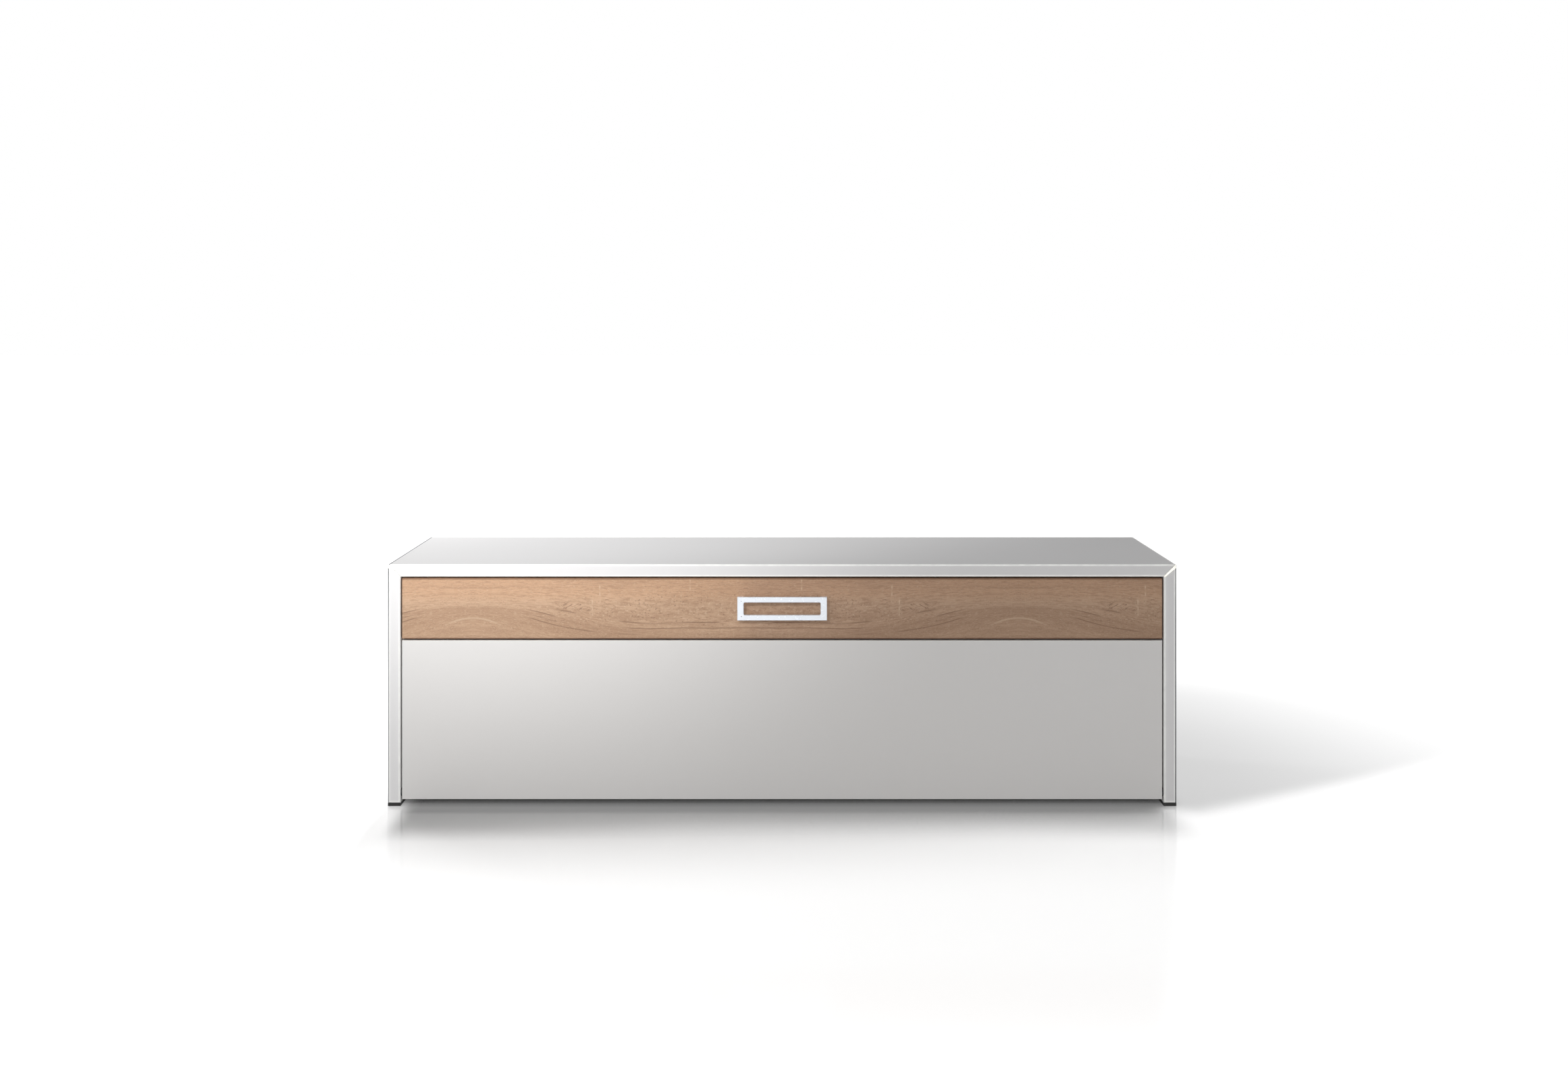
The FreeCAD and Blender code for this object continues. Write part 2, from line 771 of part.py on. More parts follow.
def make_drawer_side():
    """Grooved for the drawer's floor."""
    body = new_body("right_drawer_side")
    outline = rectangle("front_inner", "box_foot", "box_rear", "box_top")
    add_pad(body, "board", "x", "box_inner_half", "box_side_thickness", [outline])
    groove = rectangle("box_front_rear - groove_depth", "box_floor_foot", "box_rear", "box_floor_top")
    add_pocket(body, "floor_groove", "x", "box_inner_half", "groove_depth", [groove])
    keep_pair(body)


def make_drawer_inner_front():
    body = new_body("drawer_inner_front")
    outline = rectangle("-box_inner_half", "box_foot", "box_inner_half", "box_top")
    add_pad(body, "board", "y", "front_inner", "box_side_thickness", [outline])
    groove = rectangle("-box_inner_half", "box_floor_foot", "box_inner_half", "box_floor_top")
    add_pocket(body, "floor_groove", "y", "box_front_rear - groove_depth", "groove_depth", [groove])
    bore_handle_holes(body, "front_inner", "box_side_thickness", "handle_screw_radius + screw_play")
    return keep(body)


def make_drawer_back():
    body = new_body("drawer_back")
    outline = rectangle("-box_inner_half", "box_floor_top", "box_inner_half", "box_top")
    add_pad(body, "board", "y", "box_rear - box_side_thickness", "box_side_thickness", [outline])
    return keep(body)


def make_drawer_floor():
    """Held in the grooves, and under the back."""
    body = new_body("drawer_floor")
    edge = "box_inner_half + groove_depth"
    outline = rectangle(f"-({edge})", "box_front_rear - groove_depth", edge, "box_rear")
    add_pad(body, "board", "z", "box_floor_foot", "box_floor_thickness", [outline])
    return keep(body)


# Runners

def make_case_runner():
    """A channel on the side panel, cut back at its front for the roller, with a tab at its rear."""
    body = new_body("right_case_runner")
    web = rectangle("runner_front", "runner_foot", "runner_rear", "runner_top")
    add_pad(body, "web", "x", "channel_web", "runner_sheet", [web])
    lip = "rider_web + flange_play"
    length = "runner_rear - channel_front"
    reach = f"channel_web - ({lip})"
    floor = rectangle(lip, "runner_foot", "channel_web", "channel_floor")
    roof = rectangle(lip, "channel_roof", "channel_web", "runner_top")
    add_pad(body, "lower_flange", "y", "channel_front", length, [floor])
    add_pad(body, "upper_flange", "y", "channel_front", length, [roof])
    tab = rectangle("runner_rear - runner_sheet", "runner_foot", "runner_rear", "runner_top")
    add_pad(body, "end_tab", "x", lip, reach, [tab])
    place = ("front_roller_y", "front_roller_z")
    add_bore(body, "axle_hole", "x", place, "channel_web", "runner_sheet", "axle_radius")
    keep_pair(body)


def make_drawer_runner():
    """An angle on the drawer's side, whose top flange rides on the case's roller."""
    body = new_body("right_drawer_runner")
    rear = "rear_roller_y + rear_roller_radius"
    web = rectangle("front_inner", "box_foot", rear, "rider_top")
    add_pad(body, "web", "x", "box_half", "runner_sheet", [web])
    flange = rectangle("rider_web", "rider_foot", "channel_web - flange_play", "rider_top")
    add_pad(body, "rider", "y", "front_inner", f"{rear} - front_inner", [flange])
    place = ("rear_roller_y", "rear_roller_z")
    add_bore(body, "axle_hole", "x", place, "box_half", "runner_sheet", "axle_radius")
    keep_pair(body)


def make_roller(label, centre, radius):
    """A nylon wheel on a running bore."""
    body = new_body(label)
    inner = "roller_middle - roller_width / 2"
    outer = "roller_middle + roller_width / 2"
    hole = "axle_radius + running_play"
    profile = [
        (inner, hole),
        (outer, hole),
        (outer, radius),
        (inner, radius),
    ]
    add_turning(body, "wheel", "x", centre, profile)
    keep_pair(body)


def make_axles(end, centre, root, direction):
    """A pair of rivets, each from its root through the roller, with a flat head beyond it."""
    body = new_body(f"right_{end}_axle")
    head_start = f"roller_middle + {direction} * (roller_width / 2 + roller_side_play)"
    head_end = f"{head_start} + {direction} * axle_head"
    profile = [
        (root, "0"),
        (head_end, "0"),
        (head_end, "axle_head_radius"),
        (head_start, "axle_head_radius"),
        (head_start, "axle_radius"),
        (root, "axle_radius"),
    ]
    add_turning(body, "rivet", "x", centre, profile if direction > 0 else profile[::-1])
    keep_twins(f"{end}_axles", body)


def make_drawer():
    make_drawer_front()
    make_handle()
    make_handle_screws()
    make_drawer_side()
    make_drawer_inner_front()
    make_drawer_back()
    make_drawer_floor()
    make_case_runner()
    make_drawer_runner()
    front_place = ("front_roller_y", "front_roller_z")
    rear_place = ("rear_roller_y", "rear_roller_z")
    make_roller("right_front_roller", front_place, "front_roller_radius")
    make_roller("right_rear_roller", rear_place, "rear_roller_radius")
    make_axles("front", front_place, "inner_half", -1)
    make_axles("rear", rear_place, "box_half", 1)


# Flap

def make_flap_panel():
    body = make_front_board("flap_panel", "flap_foot", "flap_top")
    length = "pivot_reach + pivot_end_gap + bush_floor"
    place = ("hinge_y", "hinge_z")
    add_bore(body, "right_bush_hole", "x", place, f"front_half - ({length})", length, "bush_radius")
    add_bore(body, "left_bush_hole", "x", place, "-front_half", length, "bush_radius")
    return keep(body)


def make_flap_bushes():
    """A blind plastic bush in each end of the flap."""
    body = new_body("right_flap_bush")
    hole = "pivot_radius + running_play"
    hole_end = "front_half - pivot_reach - pivot_end_gap"
    floor = f"{hole_end} - bush_floor"
    profile = [
        (floor, "0"),
        (hole_end, "0"),
        (hole_end, hole),
        ("front_half", hole),
        ("front_half", "bush_radius"),
        (floor, "bush_radius"),
    ]
    add_turning(body, "bush", "x", ("hinge_y", "hinge_z"), profile)
    keep_twins("flap_bushes", body)


def make_flap_pins():
    """A steel pivot in each side panel, with a collar that keeps the flap off the panel."""
    body = new_body("right_flap_pin")
    tip = "front_half - pivot_reach"
    root = "inner_half + pivot_root"
    collar = "inner_half - collar_thickness"
    profile = [
        (tip, "0"),
        (root, "0"),
        (root, "pivot_radius"),
        ("inner_half", "pivot_radius"),
        ("inner_half", "collar_radius"),
        (collar, "collar_radius"),
        (collar, "pivot_radius"),
        (tip, "pivot_radius"),
    ]
    add_turning(body, "pin", "x", ("hinge_y", "hinge_z"), profile)
    keep_twins("flap_pins", body)


# Flap stays

def lean_on_rod(body, centre_y, centre_z):
    """Turns a piece that was drawn level about its pivot into the rod's slope."""
    spot = f"vector(0; {centre_y}; {centre_z})"
    bind(body, "Placement", f"placement({spot}; rotation(vector(1; 0; 0); rod_slope))")


def make_stay_rod():
    """A round rod with a flat eye at the flap and a stop at its free end."""
    body = new_body("right_stay_rod")
    hole = "stay_pin_radius + running_play"
    eye_start = "stay_plane - rod_eye_width / 2"
    add_pad(body, "eye", "x", eye_start, "rod_eye_width", [["0", "0", "rod_eye_radius"]])
    profile = [
        (hole, "0"),
        ("rod_end", "0"),
        ("rod_end", "rod_stop_radius"),
        ("rod_stop_start", "rod_stop_radius"),
        ("rod_stop_start", "rod_radius"),
        (hole, "rod_radius"),
    ]
    add_turning(body, "rod", "y", ("stay_plane", "0"), profile[::-1])
    add_bore(body, "pin_hole", "x", ("0", "0"), eye_start, "rod_eye_width", hole)
    lean_on_rod(body, "rod_pivot_y", "rod_pivot_z")
    keep_pair(body)


def make_stay_block():
    """A brake block that swivels on the case and lets the rod slide through."""
    body = new_body("right_stay_block")
    half = "block_length / 2"
    up = "block_height / 2"
    outline = rectangle(f"-{half}", f"-{up}", half, up)
    add_pad(body, "block", "x", "block_inner", "block_outer - block_inner", [outline])
    ease_edges(body, "eased_ends", "Chamfer", "Size", "block_wall", runs_across)
    rod_hole = "rod_radius + running_play"
    add_bore(body, "rod_hole", "y", ("stay_plane", "0"), f"-{half}", "block_length", rod_hole)
    pin_start = "block_outer - stay_pin_reach"
    pin_hole = "stay_pin_radius + running_play"
    add_bore(body, "pin_hole", "x", ("0", "0"), pin_start, "stay_pin_reach", pin_hole)
    lean_on_rod(body, "swivel_y", "swivel_z")
    keep_pair(body)


def make_stay_plate():
    """A plate with cut corners on the side panel, with the stub that the block swivels on."""
    body = new_body("right_stay_plate")
    across = "stay_plate_width / 2"
    up = "stay_plate_height / 2"
    outline = rectangle(
        f"swivel_y - {across}", f"swivel_z - {up}", f"swivel_y + {across}", f"swivel_z + {up}"
    )
    face = "inner_half - stay_plate"
    add_pad(body, "plate", "x", face, "stay_plate", [outline])
    ease_edges(body, "cut_corners", "Chamfer", "Size", "cut_corner", runs_across)
    stub = "stay_side_play + stay_pin_reach - stay_side_play / 2"
    place = ("swivel_y", "swivel_z")
    add_cylinder(body, "stub", "Additive", "x", place, f"{face} - ({stub})", stub, "stay_pin_radius")
    keep_pair(body)


def make_stay_foot():
    """An angle on the flap's inner face, whose ear carries the rod's pin."""
    body = new_body("right_stay_foot")
    up = "stay_foot_height / 2"
    foot = rectangle("stay_ear - stay_foot_width", f"rod_pivot_z - {up}", "stay_ear", f"rod_pivot_z + {up}")
    add_pad(body, "foot", "y", "front_inner", "stay_plate", [foot])
    ear = rectangle(
        "front_inner", "rod_pivot_z - stay_ear_margin", "rod_pivot_y + stay_ear_margin",
        "rod_pivot_z + stay_ear_margin",
    )
    add_pad(body, "ear", "x", "stay_ear - stay_ear_thickness", "stay_ear_thickness", [ear])

    def is_ear_corner(edge):
        return runs_across(edge) and lies_at(edge, "Y", "rod_pivot_y + stay_ear_margin")

    ease_edges(body, "cut_corners", "Chamfer", "Size", "cut_corner", is_ear_corner)
    place = ("rod_pivot_y", "rod_pivot_z")
    reach = "stay_side_play + rod_eye_width + stay_side_play"
    add_cylinder(body, "pin", "Additive", "x", place, "stay_ear", reach, "stay_pin_radius")
    keep_pair(body)


# Touch latches

def make_latch_housing():
    """A housing under the divider, bored for its plunger."""
    body = new_body("right_latch_housing")
    half = "latch_width / 2"
    outline = rectangle(
        f"latch_x - {half}", "divider_foot - latch_height", f"latch_x + {half}", "divider_foot"
    )
    add_pad(body, "housing", "y", "latch_front", "latch_length", [outline])

    def is_lower_edge(edge):
        return runs_along(edge, "y") and lies_at(edge, "Z", "divider_foot - latch_height")

    ease_edges(body, "eased_edges", "Chamfer", "Size", "latch_bevel", is_lower_edge)
    length = "plunger_rear + plunger_play - latch_front"
    radius = "plunger_radius + running_play"
    add_bore(body, "plunger_hole", "y", ("latch_x", "latch_z"), "latch_front", length, radius)
    keep_pair(body)


def make_latch_plunger():
    """A plunger, at rest just behind the flap's strike."""
    body = new_body("right_latch_plunger")
    place = ("latch_x", "latch_z")
    add_cylinder(body, "rod", "Additive", "y", place, "plunger_front", "plunger_length", "plunger_radius")
    keep_pair(body)


def make_strike_plates():
    """Round plates on the flap, one in front of each plunger."""
    plates = []
    rear = "front_inner + strike_thickness"
    profile = [
        ("front_inner", "0"),
        (rear, "0"),
        (rear, "strike_radius - strike_thickness / 2"),
        ("front_inner", "strike_radius"),
    ]
    for name, place in (("right", "latch_x"), ("left", "-latch_x")):
        body = new_body(f"{name}_strike_plate")
        add_turning(body, "plate", "y", (place, "latch_z"), profile[::-1])
        plates.append(body)
    keep_group("strike_plates", plates)


def make_flap():
    make_flap_panel()
    make_flap_bushes()
    make_flap_pins()
    make_stay_rod()
    make_stay_block()
    make_stay_plate()
    make_stay_foot()
    make_latch_housing()
    make_latch_plunger()
    make_strike_plates()


# Checks and files

def check_states():
    for item in document.Objects:
        if "Invalid" in item.State or "Error" in item.State:
            raise RuntimeError(f"{item.Label} failed: {item.getStatusString()}")


def check_directions():
    """Every added feature adds material and every cut takes some away."""
    removing = ("Pocket", "Subtractive", "Chamfer")
    adding = ("Pad", "Additive")
    for item in document.Objects:
        base = getattr(item, "BaseFeature", None)
        if base is None or not item.TypeId.startswith("PartDesign::"):
            continue
        kind = item.TypeId.split("::")[1]
        change = item.Shape.Volume - base.Shape.Volume
        if kind.startswith(removing) and change >= 0:
            raise RuntimeError(f"{item.Label} cuts nothing")
        if kind.startswith(adding) and change <= 0:
            raise RuntimeError(f"{item.Label} adds nothing")


def check_shapes():
    for node in nodes:
        shape = node.Shape
        if shape.isNull() or not shape.isValid() or not shape.Solids:
            raise RuntimeError(f"{node.Label} has no valid solid")


def write_parts():
    os.makedirs(PARTS_FOLDER, exist_ok=True)
    for node in nodes:
        node.Shape.exportStep(os.path.join(PARTS_FOLDER, node.Label + ".step"))


make_case()
make_drawer()
make_flap()
document.recompute()
check_states()
check_directions()
check_shapes()
write_parts()
print(len(nodes), "nodes")
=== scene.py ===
import math

import bmesh
import bpy
from mathutils import Matrix, Vector


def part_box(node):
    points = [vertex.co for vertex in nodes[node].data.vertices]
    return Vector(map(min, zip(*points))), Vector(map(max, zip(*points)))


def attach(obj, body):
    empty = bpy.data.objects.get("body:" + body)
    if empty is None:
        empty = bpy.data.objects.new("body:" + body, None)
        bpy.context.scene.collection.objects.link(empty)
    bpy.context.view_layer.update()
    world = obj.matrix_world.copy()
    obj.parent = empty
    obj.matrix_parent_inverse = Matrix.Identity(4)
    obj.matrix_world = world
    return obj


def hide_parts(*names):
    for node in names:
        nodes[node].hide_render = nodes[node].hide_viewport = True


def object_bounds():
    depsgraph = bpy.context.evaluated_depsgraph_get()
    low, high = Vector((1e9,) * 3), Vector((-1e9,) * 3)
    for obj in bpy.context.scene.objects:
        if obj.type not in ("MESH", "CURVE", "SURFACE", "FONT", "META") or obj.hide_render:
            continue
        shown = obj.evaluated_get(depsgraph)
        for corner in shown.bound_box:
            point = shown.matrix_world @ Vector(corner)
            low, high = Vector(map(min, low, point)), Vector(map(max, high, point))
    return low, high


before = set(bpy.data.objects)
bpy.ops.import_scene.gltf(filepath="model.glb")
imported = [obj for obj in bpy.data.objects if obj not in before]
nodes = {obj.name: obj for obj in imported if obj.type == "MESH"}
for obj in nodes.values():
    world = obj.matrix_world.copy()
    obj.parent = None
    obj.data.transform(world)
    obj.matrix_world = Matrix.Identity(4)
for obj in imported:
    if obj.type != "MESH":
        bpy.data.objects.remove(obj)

cad_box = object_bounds()
SIDES = (("right", 1), ("left", -1))

MM = 0.001


def srgb(red, green, blue):
    """A colour as it shows on a screen, 0 to 255, in the linear values that shaders use."""
    def linear(level):
        share = level / 255
        return share / 12.92 if share <= 0.04045 else ((share + 0.055) / 1.055) ** 2.4
    return (linear(red), linear(green), linear(blue))


# Colours
WHITE = srgb(236, 235, 235)
PALE_GREY = srgb(232, 230, 228)
EDGE_HIGHLIGHT_WHITE = srgb(252, 252, 249)
EDGE_SHADE_GREY = srgb(100, 101, 105)
CREAM_HIGHLIGHT = srgb(250, 247, 236)
BOARD_WHITE = srgb(232, 231, 227)
BOARD_CORE = srgb(160, 148, 130)
BEECH_DARK = srgb(196, 150, 108)
BEECH_LIGHT = srgb(222, 184, 142)
OAK_LIGHT = srgb(205, 171, 142)
OAK_MIDDLE = srgb(188, 154, 126)
OAK_WARM = srgb(207, 164, 130)
OAK_DARK = srgb(160, 125, 99)
OAK_LINE = srgb(116, 84, 64)
OAK_FLECK = srgb(220, 194, 166)
OAK_LIPPING_AND_SHADE = srgb(98, 62, 44)
OAK_TURNED_SHADE = (0.86, 0.855, 0.87)
HANDLE_WHITE = srgb(243, 248, 255)
PIN_GREY = srgb(128, 130, 138)
GLIDE_BLACK = srgb(22, 22, 21)
ENAMEL_WHITE = srgb(232, 232, 228)
NYLON_WHITE = srgb(226, 225, 216)
LATCH_GREY = srgb(150, 152, 154)
ZINC = (0.62, 0.63, 0.64)
SHADE_DARK_STEEL = (0.1, 0.1, 0.105)
DRAWN_STEEL = (0.66, 0.66, 0.66)
NICKEL = (0.56, 0.54, 0.5)

# A smooth step is given by where it starts and ends, often with its two levels after that.
# Lengths without MM are in metres

# Noise: the middle range, which most of its values lie in
NOISE_RANGE = (0.3, 0.7)

# Depths of the fine relief on finishes
SMOOTH_RELIEF = 0.04 * MM
PEBBLE_RELIEF = 0.05 * MM
GRAIN_RELIEF = 0.1 * MM

# Lacquered edges, paler than the faces as a painted highlight with some wear, and a grey line of
# painted shade round the case's outermost edges.
# At the left the line is fainter low down, and at the right high up and on the top
FLAP_EDGE = 1.2 * MM
TOP_EDGE = 4.5 * MM
SIDE_EDGE = 5.2 * MM
EDGE_PLATEAU_SHARE = 0.55
EDGE_HIGHLIGHT_AND_WEAR = (0.25, 0.75, 0.55, 0.9)
EDGE_SHINE = 0.3
LINE_WIDTH = 2.3 * MM
TOP_LINE_WIDTH = 4.4 * MM
LINE_BLUR = 0.25 * MM
TOP_FACE_BELOW = (1.0 * MM, 0.5 * MM)
LINE_SPAN = (-700 * MM, 700 * MM)
LINE_CLIMB = (320 * MM, 440 * MM)
LINE_LOW_LEVELS = (0.75, 1.0)
LINE_HIGH_LEVELS = (0.9, 0.75)
LINE_TOP_LEVELS = (1.0, 0.0)

# The joint line of a faced board's edge band
BAND_LINE_START = (0.5 * MM, 0.75 * MM)
BAND_LINE_END = (1.3 * MM, 1.05 * MM)

# The oak's leaves are cut from one bundle and laid as mirror images, each against the next. Places
# along a leaf start at its mirror line, and heights at the middle of the front
FIRST_MIRROR = -588 * MM
LEAF_LENGTH = 519 * MM
LEAF_JOINT_BLUR = 30 * MM
HUMP_REACH = 150 * MM
HUMP_DROP = 45 * MM
HUMP_ZONE = (45 * MM, -45 * MM)
WAVE_DEPTH = 16 * MM
WARM_ZONE = (4 * MM, 34 * MM)
WARM_SHARE = 0.6
BELT_DROP = 6 * MM
BELT = (15 * MM, 2 * MM, 0.0, 0.22)
GRAIN_LINES = (-4 * MM, 1 * MM, 7 * MM, 14 * MM)
LINE_HALF_WIDTH = 1.3 * MM
LINE_THINNING = 0.15 * MM
LINE_CORE = 0.2 * MM
LINES_ALONG = (85 * MM, 125 * MM)
LINES_UNDER = (6 * MM, -8 * MM)
ARCH_BEND = 4.8
ARCH_DROP = 18 * MM
ARCH_REACH = (62 * MM, 30 * MM)
ARCH_HALF_WIDTH = (3.0 * MM, 0.3 * MM)
ARCH_SHARE = 0.38
CHATTER_PLACE = 196 * MM
CHATTER_RISE = 3 * MM
CHATTER_HALF_LENGTH = 42 * MM
CHATTER_HALF_HEIGHT = 15 * MM
CHATTER_SLANT = 0.42
CHATTER_SHARE = 0.7
PORE_SHARE = 0.5
RAY_BARS = (
    (227 * MM, -14 * MM, 21 * MM),
    (241 * MM, 22 * MM, 45 * MM),
    (413 * MM, 35 * MM, 57 * MM),
)
BAR_HALF_WIDTH = (1.9 * MM, 0.7 * MM)
BAR_END_OUT = 2 * MM
BAR_END_IN = 4 * MM
RAY_SHARE = 0.12
LIPPING_HEIGHT = (2.4 * MM, 1.2 * MM)
LIPPING_DEPTH = (0.9 * MM, 0.3 * MM)
LIPPING_SHARE = 0.85

# The handle's small grey pins
PIN_INSET = 7.7 * MM
PIN_RADIUS = (1.2 * MM, 0.9 * MM)
PIN_FACE = (1.0 * MM, 0.5 * MM)
LOWER_PIN_SHARE = 0.75
UPPER_PIN_SHARE = 0.5

# Screw heads, and the shares of a head's radius that its cross recess takes
ROUND_STEPS = 28
SCREW_RADIUS = 3.4 * MM
FLAT_HEAD = 0.4 * MM
PAN_HEAD = 1.6 * MM
HANDLE_HEAD_RADIUS = 4 * MM
HANDLE_HEAD = 2.5 * MM
HEAD_TOP_SHARE = 0.82
CROSS_ARM_SHARE = 0.52
CROSS_HALF_SHARE = 0.12
CROSS_DEPTH_SHARE = 0.42
CROSS_TAPER = (0.55, 0.8)

# Where the screws stand, as shares of a piece's length or as distances from its edges
RUNNER_SHEET = 1.2 * MM
CASE_RUNNER_SHARES = (0.14, 0.5, 0.9)
DRAWER_RUNNER_SHARES = (0.1, 0.5, 0.86)
DRAWER_RUNNER_HEIGHT_SHARE = 0.45
STAY_SHEET = 2 * MM
STAY_PLATE_INSET = 7 * MM
STAY_FOOT_INSET = 5.5 * MM
STAY_FOOT_ASIDE = 8 * MM
BEARER_WIDTH = 12 * MM
BEARER_SHARES = (0.12, 0.5, 0.88)
STRIKE_RADIUS = 8 * MM
BACK_INSET = 8 * MM
BACK_FOOT_INSET = 9 * MM
BACK_COLUMNS = (0.0, 1 / 6, 1 / 3, 1 / 2, 2 / 3, 5 / 6, 1.0)
BACK_ROWS = (1 / 3, 2 / 3)
SINK_RADIUS = 3.5 * MM
SINK_MOUTH_RADIUS = 4.3 * MM
SINK_DEPTH = 0.8 * MM
SINK_MIDDLE = 0.2 * MM
SUNK_HEAD = 0.58 * MM
WELD_DISTANCE = 0.001 * MM

# Latch lugs and mitre strips
LUG_LENGTH = 9 * MM
LUG_THICKNESS = 2.5 * MM
LUG_BEVEL = 0.6 * MM
LUG_SHARES = (0.62, 0.86)
STRIP_CORNER_WIDTH = 5.4 * MM
STRIP_FOOT_WIDTH = 3.2 * MM
STRIP_FOOT_SHORT = 0.3 * MM
STRIP_RIDGE_INSET = 0.4 * MM
STRIP_LIFT_SHARE = 0.25

# The world's strength at its rim and overhead
WORLD_RIM = 0.89
WORLD_TOP = 0.06

# The floor: its white, and the glow that makes it white to the camera
FLOOR_SPAN = 40.0
FLOOR_ROUGHNESS = 0.14
FLOOR_SHEEN = 0.22
FLOOR_WHITE = 0.86
FLOOR_LIFT = 0.31
RIGHT_LIFT = 0.57
FAR_LIFT = 0.66
LIFT_REACH = (0.1, 0.6)
LEFT_LIFT_BORDER = (0.005, -0.03)
BOUNCE_SHADE = 0.55
SHADOW_REACH = 1.4
FAR_SHADER_SHARES = (0.8, 1.1)

# The shadow at the case's feet, in front of it and behind
SKY_REACH = 0.7
SKY_SHADE = (0.46, 0.82, 0.06, 1.0)
DEEP_GLOW = (0.0, 0.08, 0.0, 0.16)
DEEP_SHADE = (0.0, 0.06, 0.25, 1.0)
CASE_HALF_DEPTH = 0.225
BELT_NEAR = (0.0, 0.05)
BELT_FAR = (0.27, 0.12)
LEFT_END_SHADE = (-0.1, -0.75, 0.0, 0.47)
RIGHT_END_SHADE = (0.35, 0.8, 0.0, 0.32)
CONTACT_FADE = (0.01, 0.26, 0.28, 1.0)
UNDERSIDE_FADE = (-0.03, 0.005, 0.3, 1.0)
LEFT_FOOT = (-0.745, -0.675)
RIGHT_FOOT = (0.79, 0.675)

# The painted shadow of the case, to the right and behind
CAST_START = 0.1
CAST_TURN = 0.2
CAST_WEIGHTS = (1.8, 0.2)
CAST_FADE = (-0.15, 1.3, 0.5, 1.0)
CAST_SLOPE = 0.7
CAST_FRONT = 0.235
CAST_CORNER = (0.8, 0.62, 0.0, 0.2)
CAST_BORDER = (-0.15, 0.04)
CAST_REAR_BORDER = (-0.3, 0.3)
CAST_LEFT_BORDER = (-0.7, -0.3)
CAST_FADE_SHARE = 0.3

# Camera
CAMERA_PLACE = (0.0, -3.931, 0.936)
LENS = 44.81
SENSOR_WIDTH = 36.0
SHIFT_ACROSS = 0.0012
SHIFT_DOWN = -0.1435


# Materials

class Finish:
    """A material with one Principled shader, and short ways to wire its nodes."""

    def __init__(self, name, **constants):
        self.material = bpy.data.materials.new(name)
        self.material.use_nodes = True
        self.tree = self.material.node_tree
        self.shader = self.tree.nodes["Principled BSDF"]
        self.place = self.add("TexCoord").outputs["Object"]
        for socket, value in constants.items():
            self.shader.inputs[socket.replace("_", " ")].default_value = value

    def add(self, kind, inputs=None, **attributes):
        node = self.tree.nodes.new("ShaderNode" + kind)
        for name, value in attributes.items():
            setattr(node, name, value)
        for key, value in (inputs or {}).items():
            self.feed(node.inputs[key], value)
        return node

    def feed(self, socket, value):
        if isinstance(value, bpy.types.NodeSocket):
            self.tree.links.new(value, socket)
        elif socket.type == "RGBA":
            socket.default_value = (*value, 1.0)
        else:
            socket.default_value = value

    def set(self, name, value):
        self.feed(self.shader.inputs[name], value)

    def math(self, operation, *values):
        return self.add("Math", dict(enumerate(values)), operation=operation).outputs[0]

    def less(self, first, second):
        return self.math("SUBTRACT", first, second)

    def product(self, first, *others):
        for other in others:
            first = self.math("MULTIPLY", first, other)
        return first

    def separate(self):
        """The place on the piece, as its parts across, along and up."""
        return self.add("SeparateXYZ", {0: self.place}).outputs

    def combine(self, across, along, up):
        return self.add("CombineXYZ", {0: across, 1: along, 2: up}).outputs[0]

    def rise(self, value, low, high, start=0.0, end=1.0):
        """A smooth step from start at low to end at high."""
        inputs = {"Value": value, "From Min": low, "From Max": high, "To Min": start, "To Max": end}
        return self.add("MapRange", inputs, interpolation_type="SMOOTHSTEP").outputs["Result"]

    def spread(self, noise, start=0.0, end=1.0):
        """A noise drawn out, so that most of its values run from start to end."""
        return self.rise(noise, *NOISE_RANGE, start, end)

    def noise(self, scale, stretch=(1, 1, 1), detail=3.0, place=None, roughness=0.5):
        vector = self.add("VectorMath", {0: place or self.place, 1: stretch}, operation="MULTIPLY")
        inputs = {
            "Vector": vector.outputs[0], "Scale": scale, "Detail": detail, "Roughness": roughness,
        }
        return self.add("TexNoise", inputs).outputs["Fac"]

    def mix(self, share, first, second, blend="MIX"):
        node = self.add("Mix", data_type="RGBA", blend_type=blend)
        for index, value in ((0, share), (6, first), (7, second)):
            self.feed(node.inputs[index], value)
        return node.outputs[2]

    def bump(self, height, distance, strength):
        inputs = {"Height": height, "Distance": distance, "Strength": strength}
        self.set("Normal", self.add("Bump", inputs).outputs["Normal"])

    def edge_distance(self, low, high):
        """How far a point on a board's surface lies from the nearest edge of its box."""
        centre = (low + high) / 2
        half = (high - low) / 2
        off = self.add("VectorMath", {0: self.place, 1: centre}, operation="SUBTRACT").outputs[0]
        size = self.add("VectorMath", {0: off}, operation="ABSOLUTE").outputs[0]
        inward = self.add("VectorMath", {0: half, 1: size}, operation="SUBTRACT").outputs[0]
        across, along, up = self.add("SeparateXYZ", {0: inward}).outputs
        least = self.math("MINIMUM", self.math("MINIMUM", across, along), up)
        most = self.math("MAXIMUM", self.math("MAXIMUM", across, along), up)
        total = self.math("ADD", self.math("ADD", across, along), up)
        return self.less(self.less(total, least), most)


def dress(node_names, finish):
    for name in node_names:
        slots = nodes[name].material_slots
        if not slots:
            nodes[name].data.materials.append(None)
        for slot in nodes[name].material_slots:
            slot.material = finish.material


def darker(colour, share):
    return [level * share for level in colour]


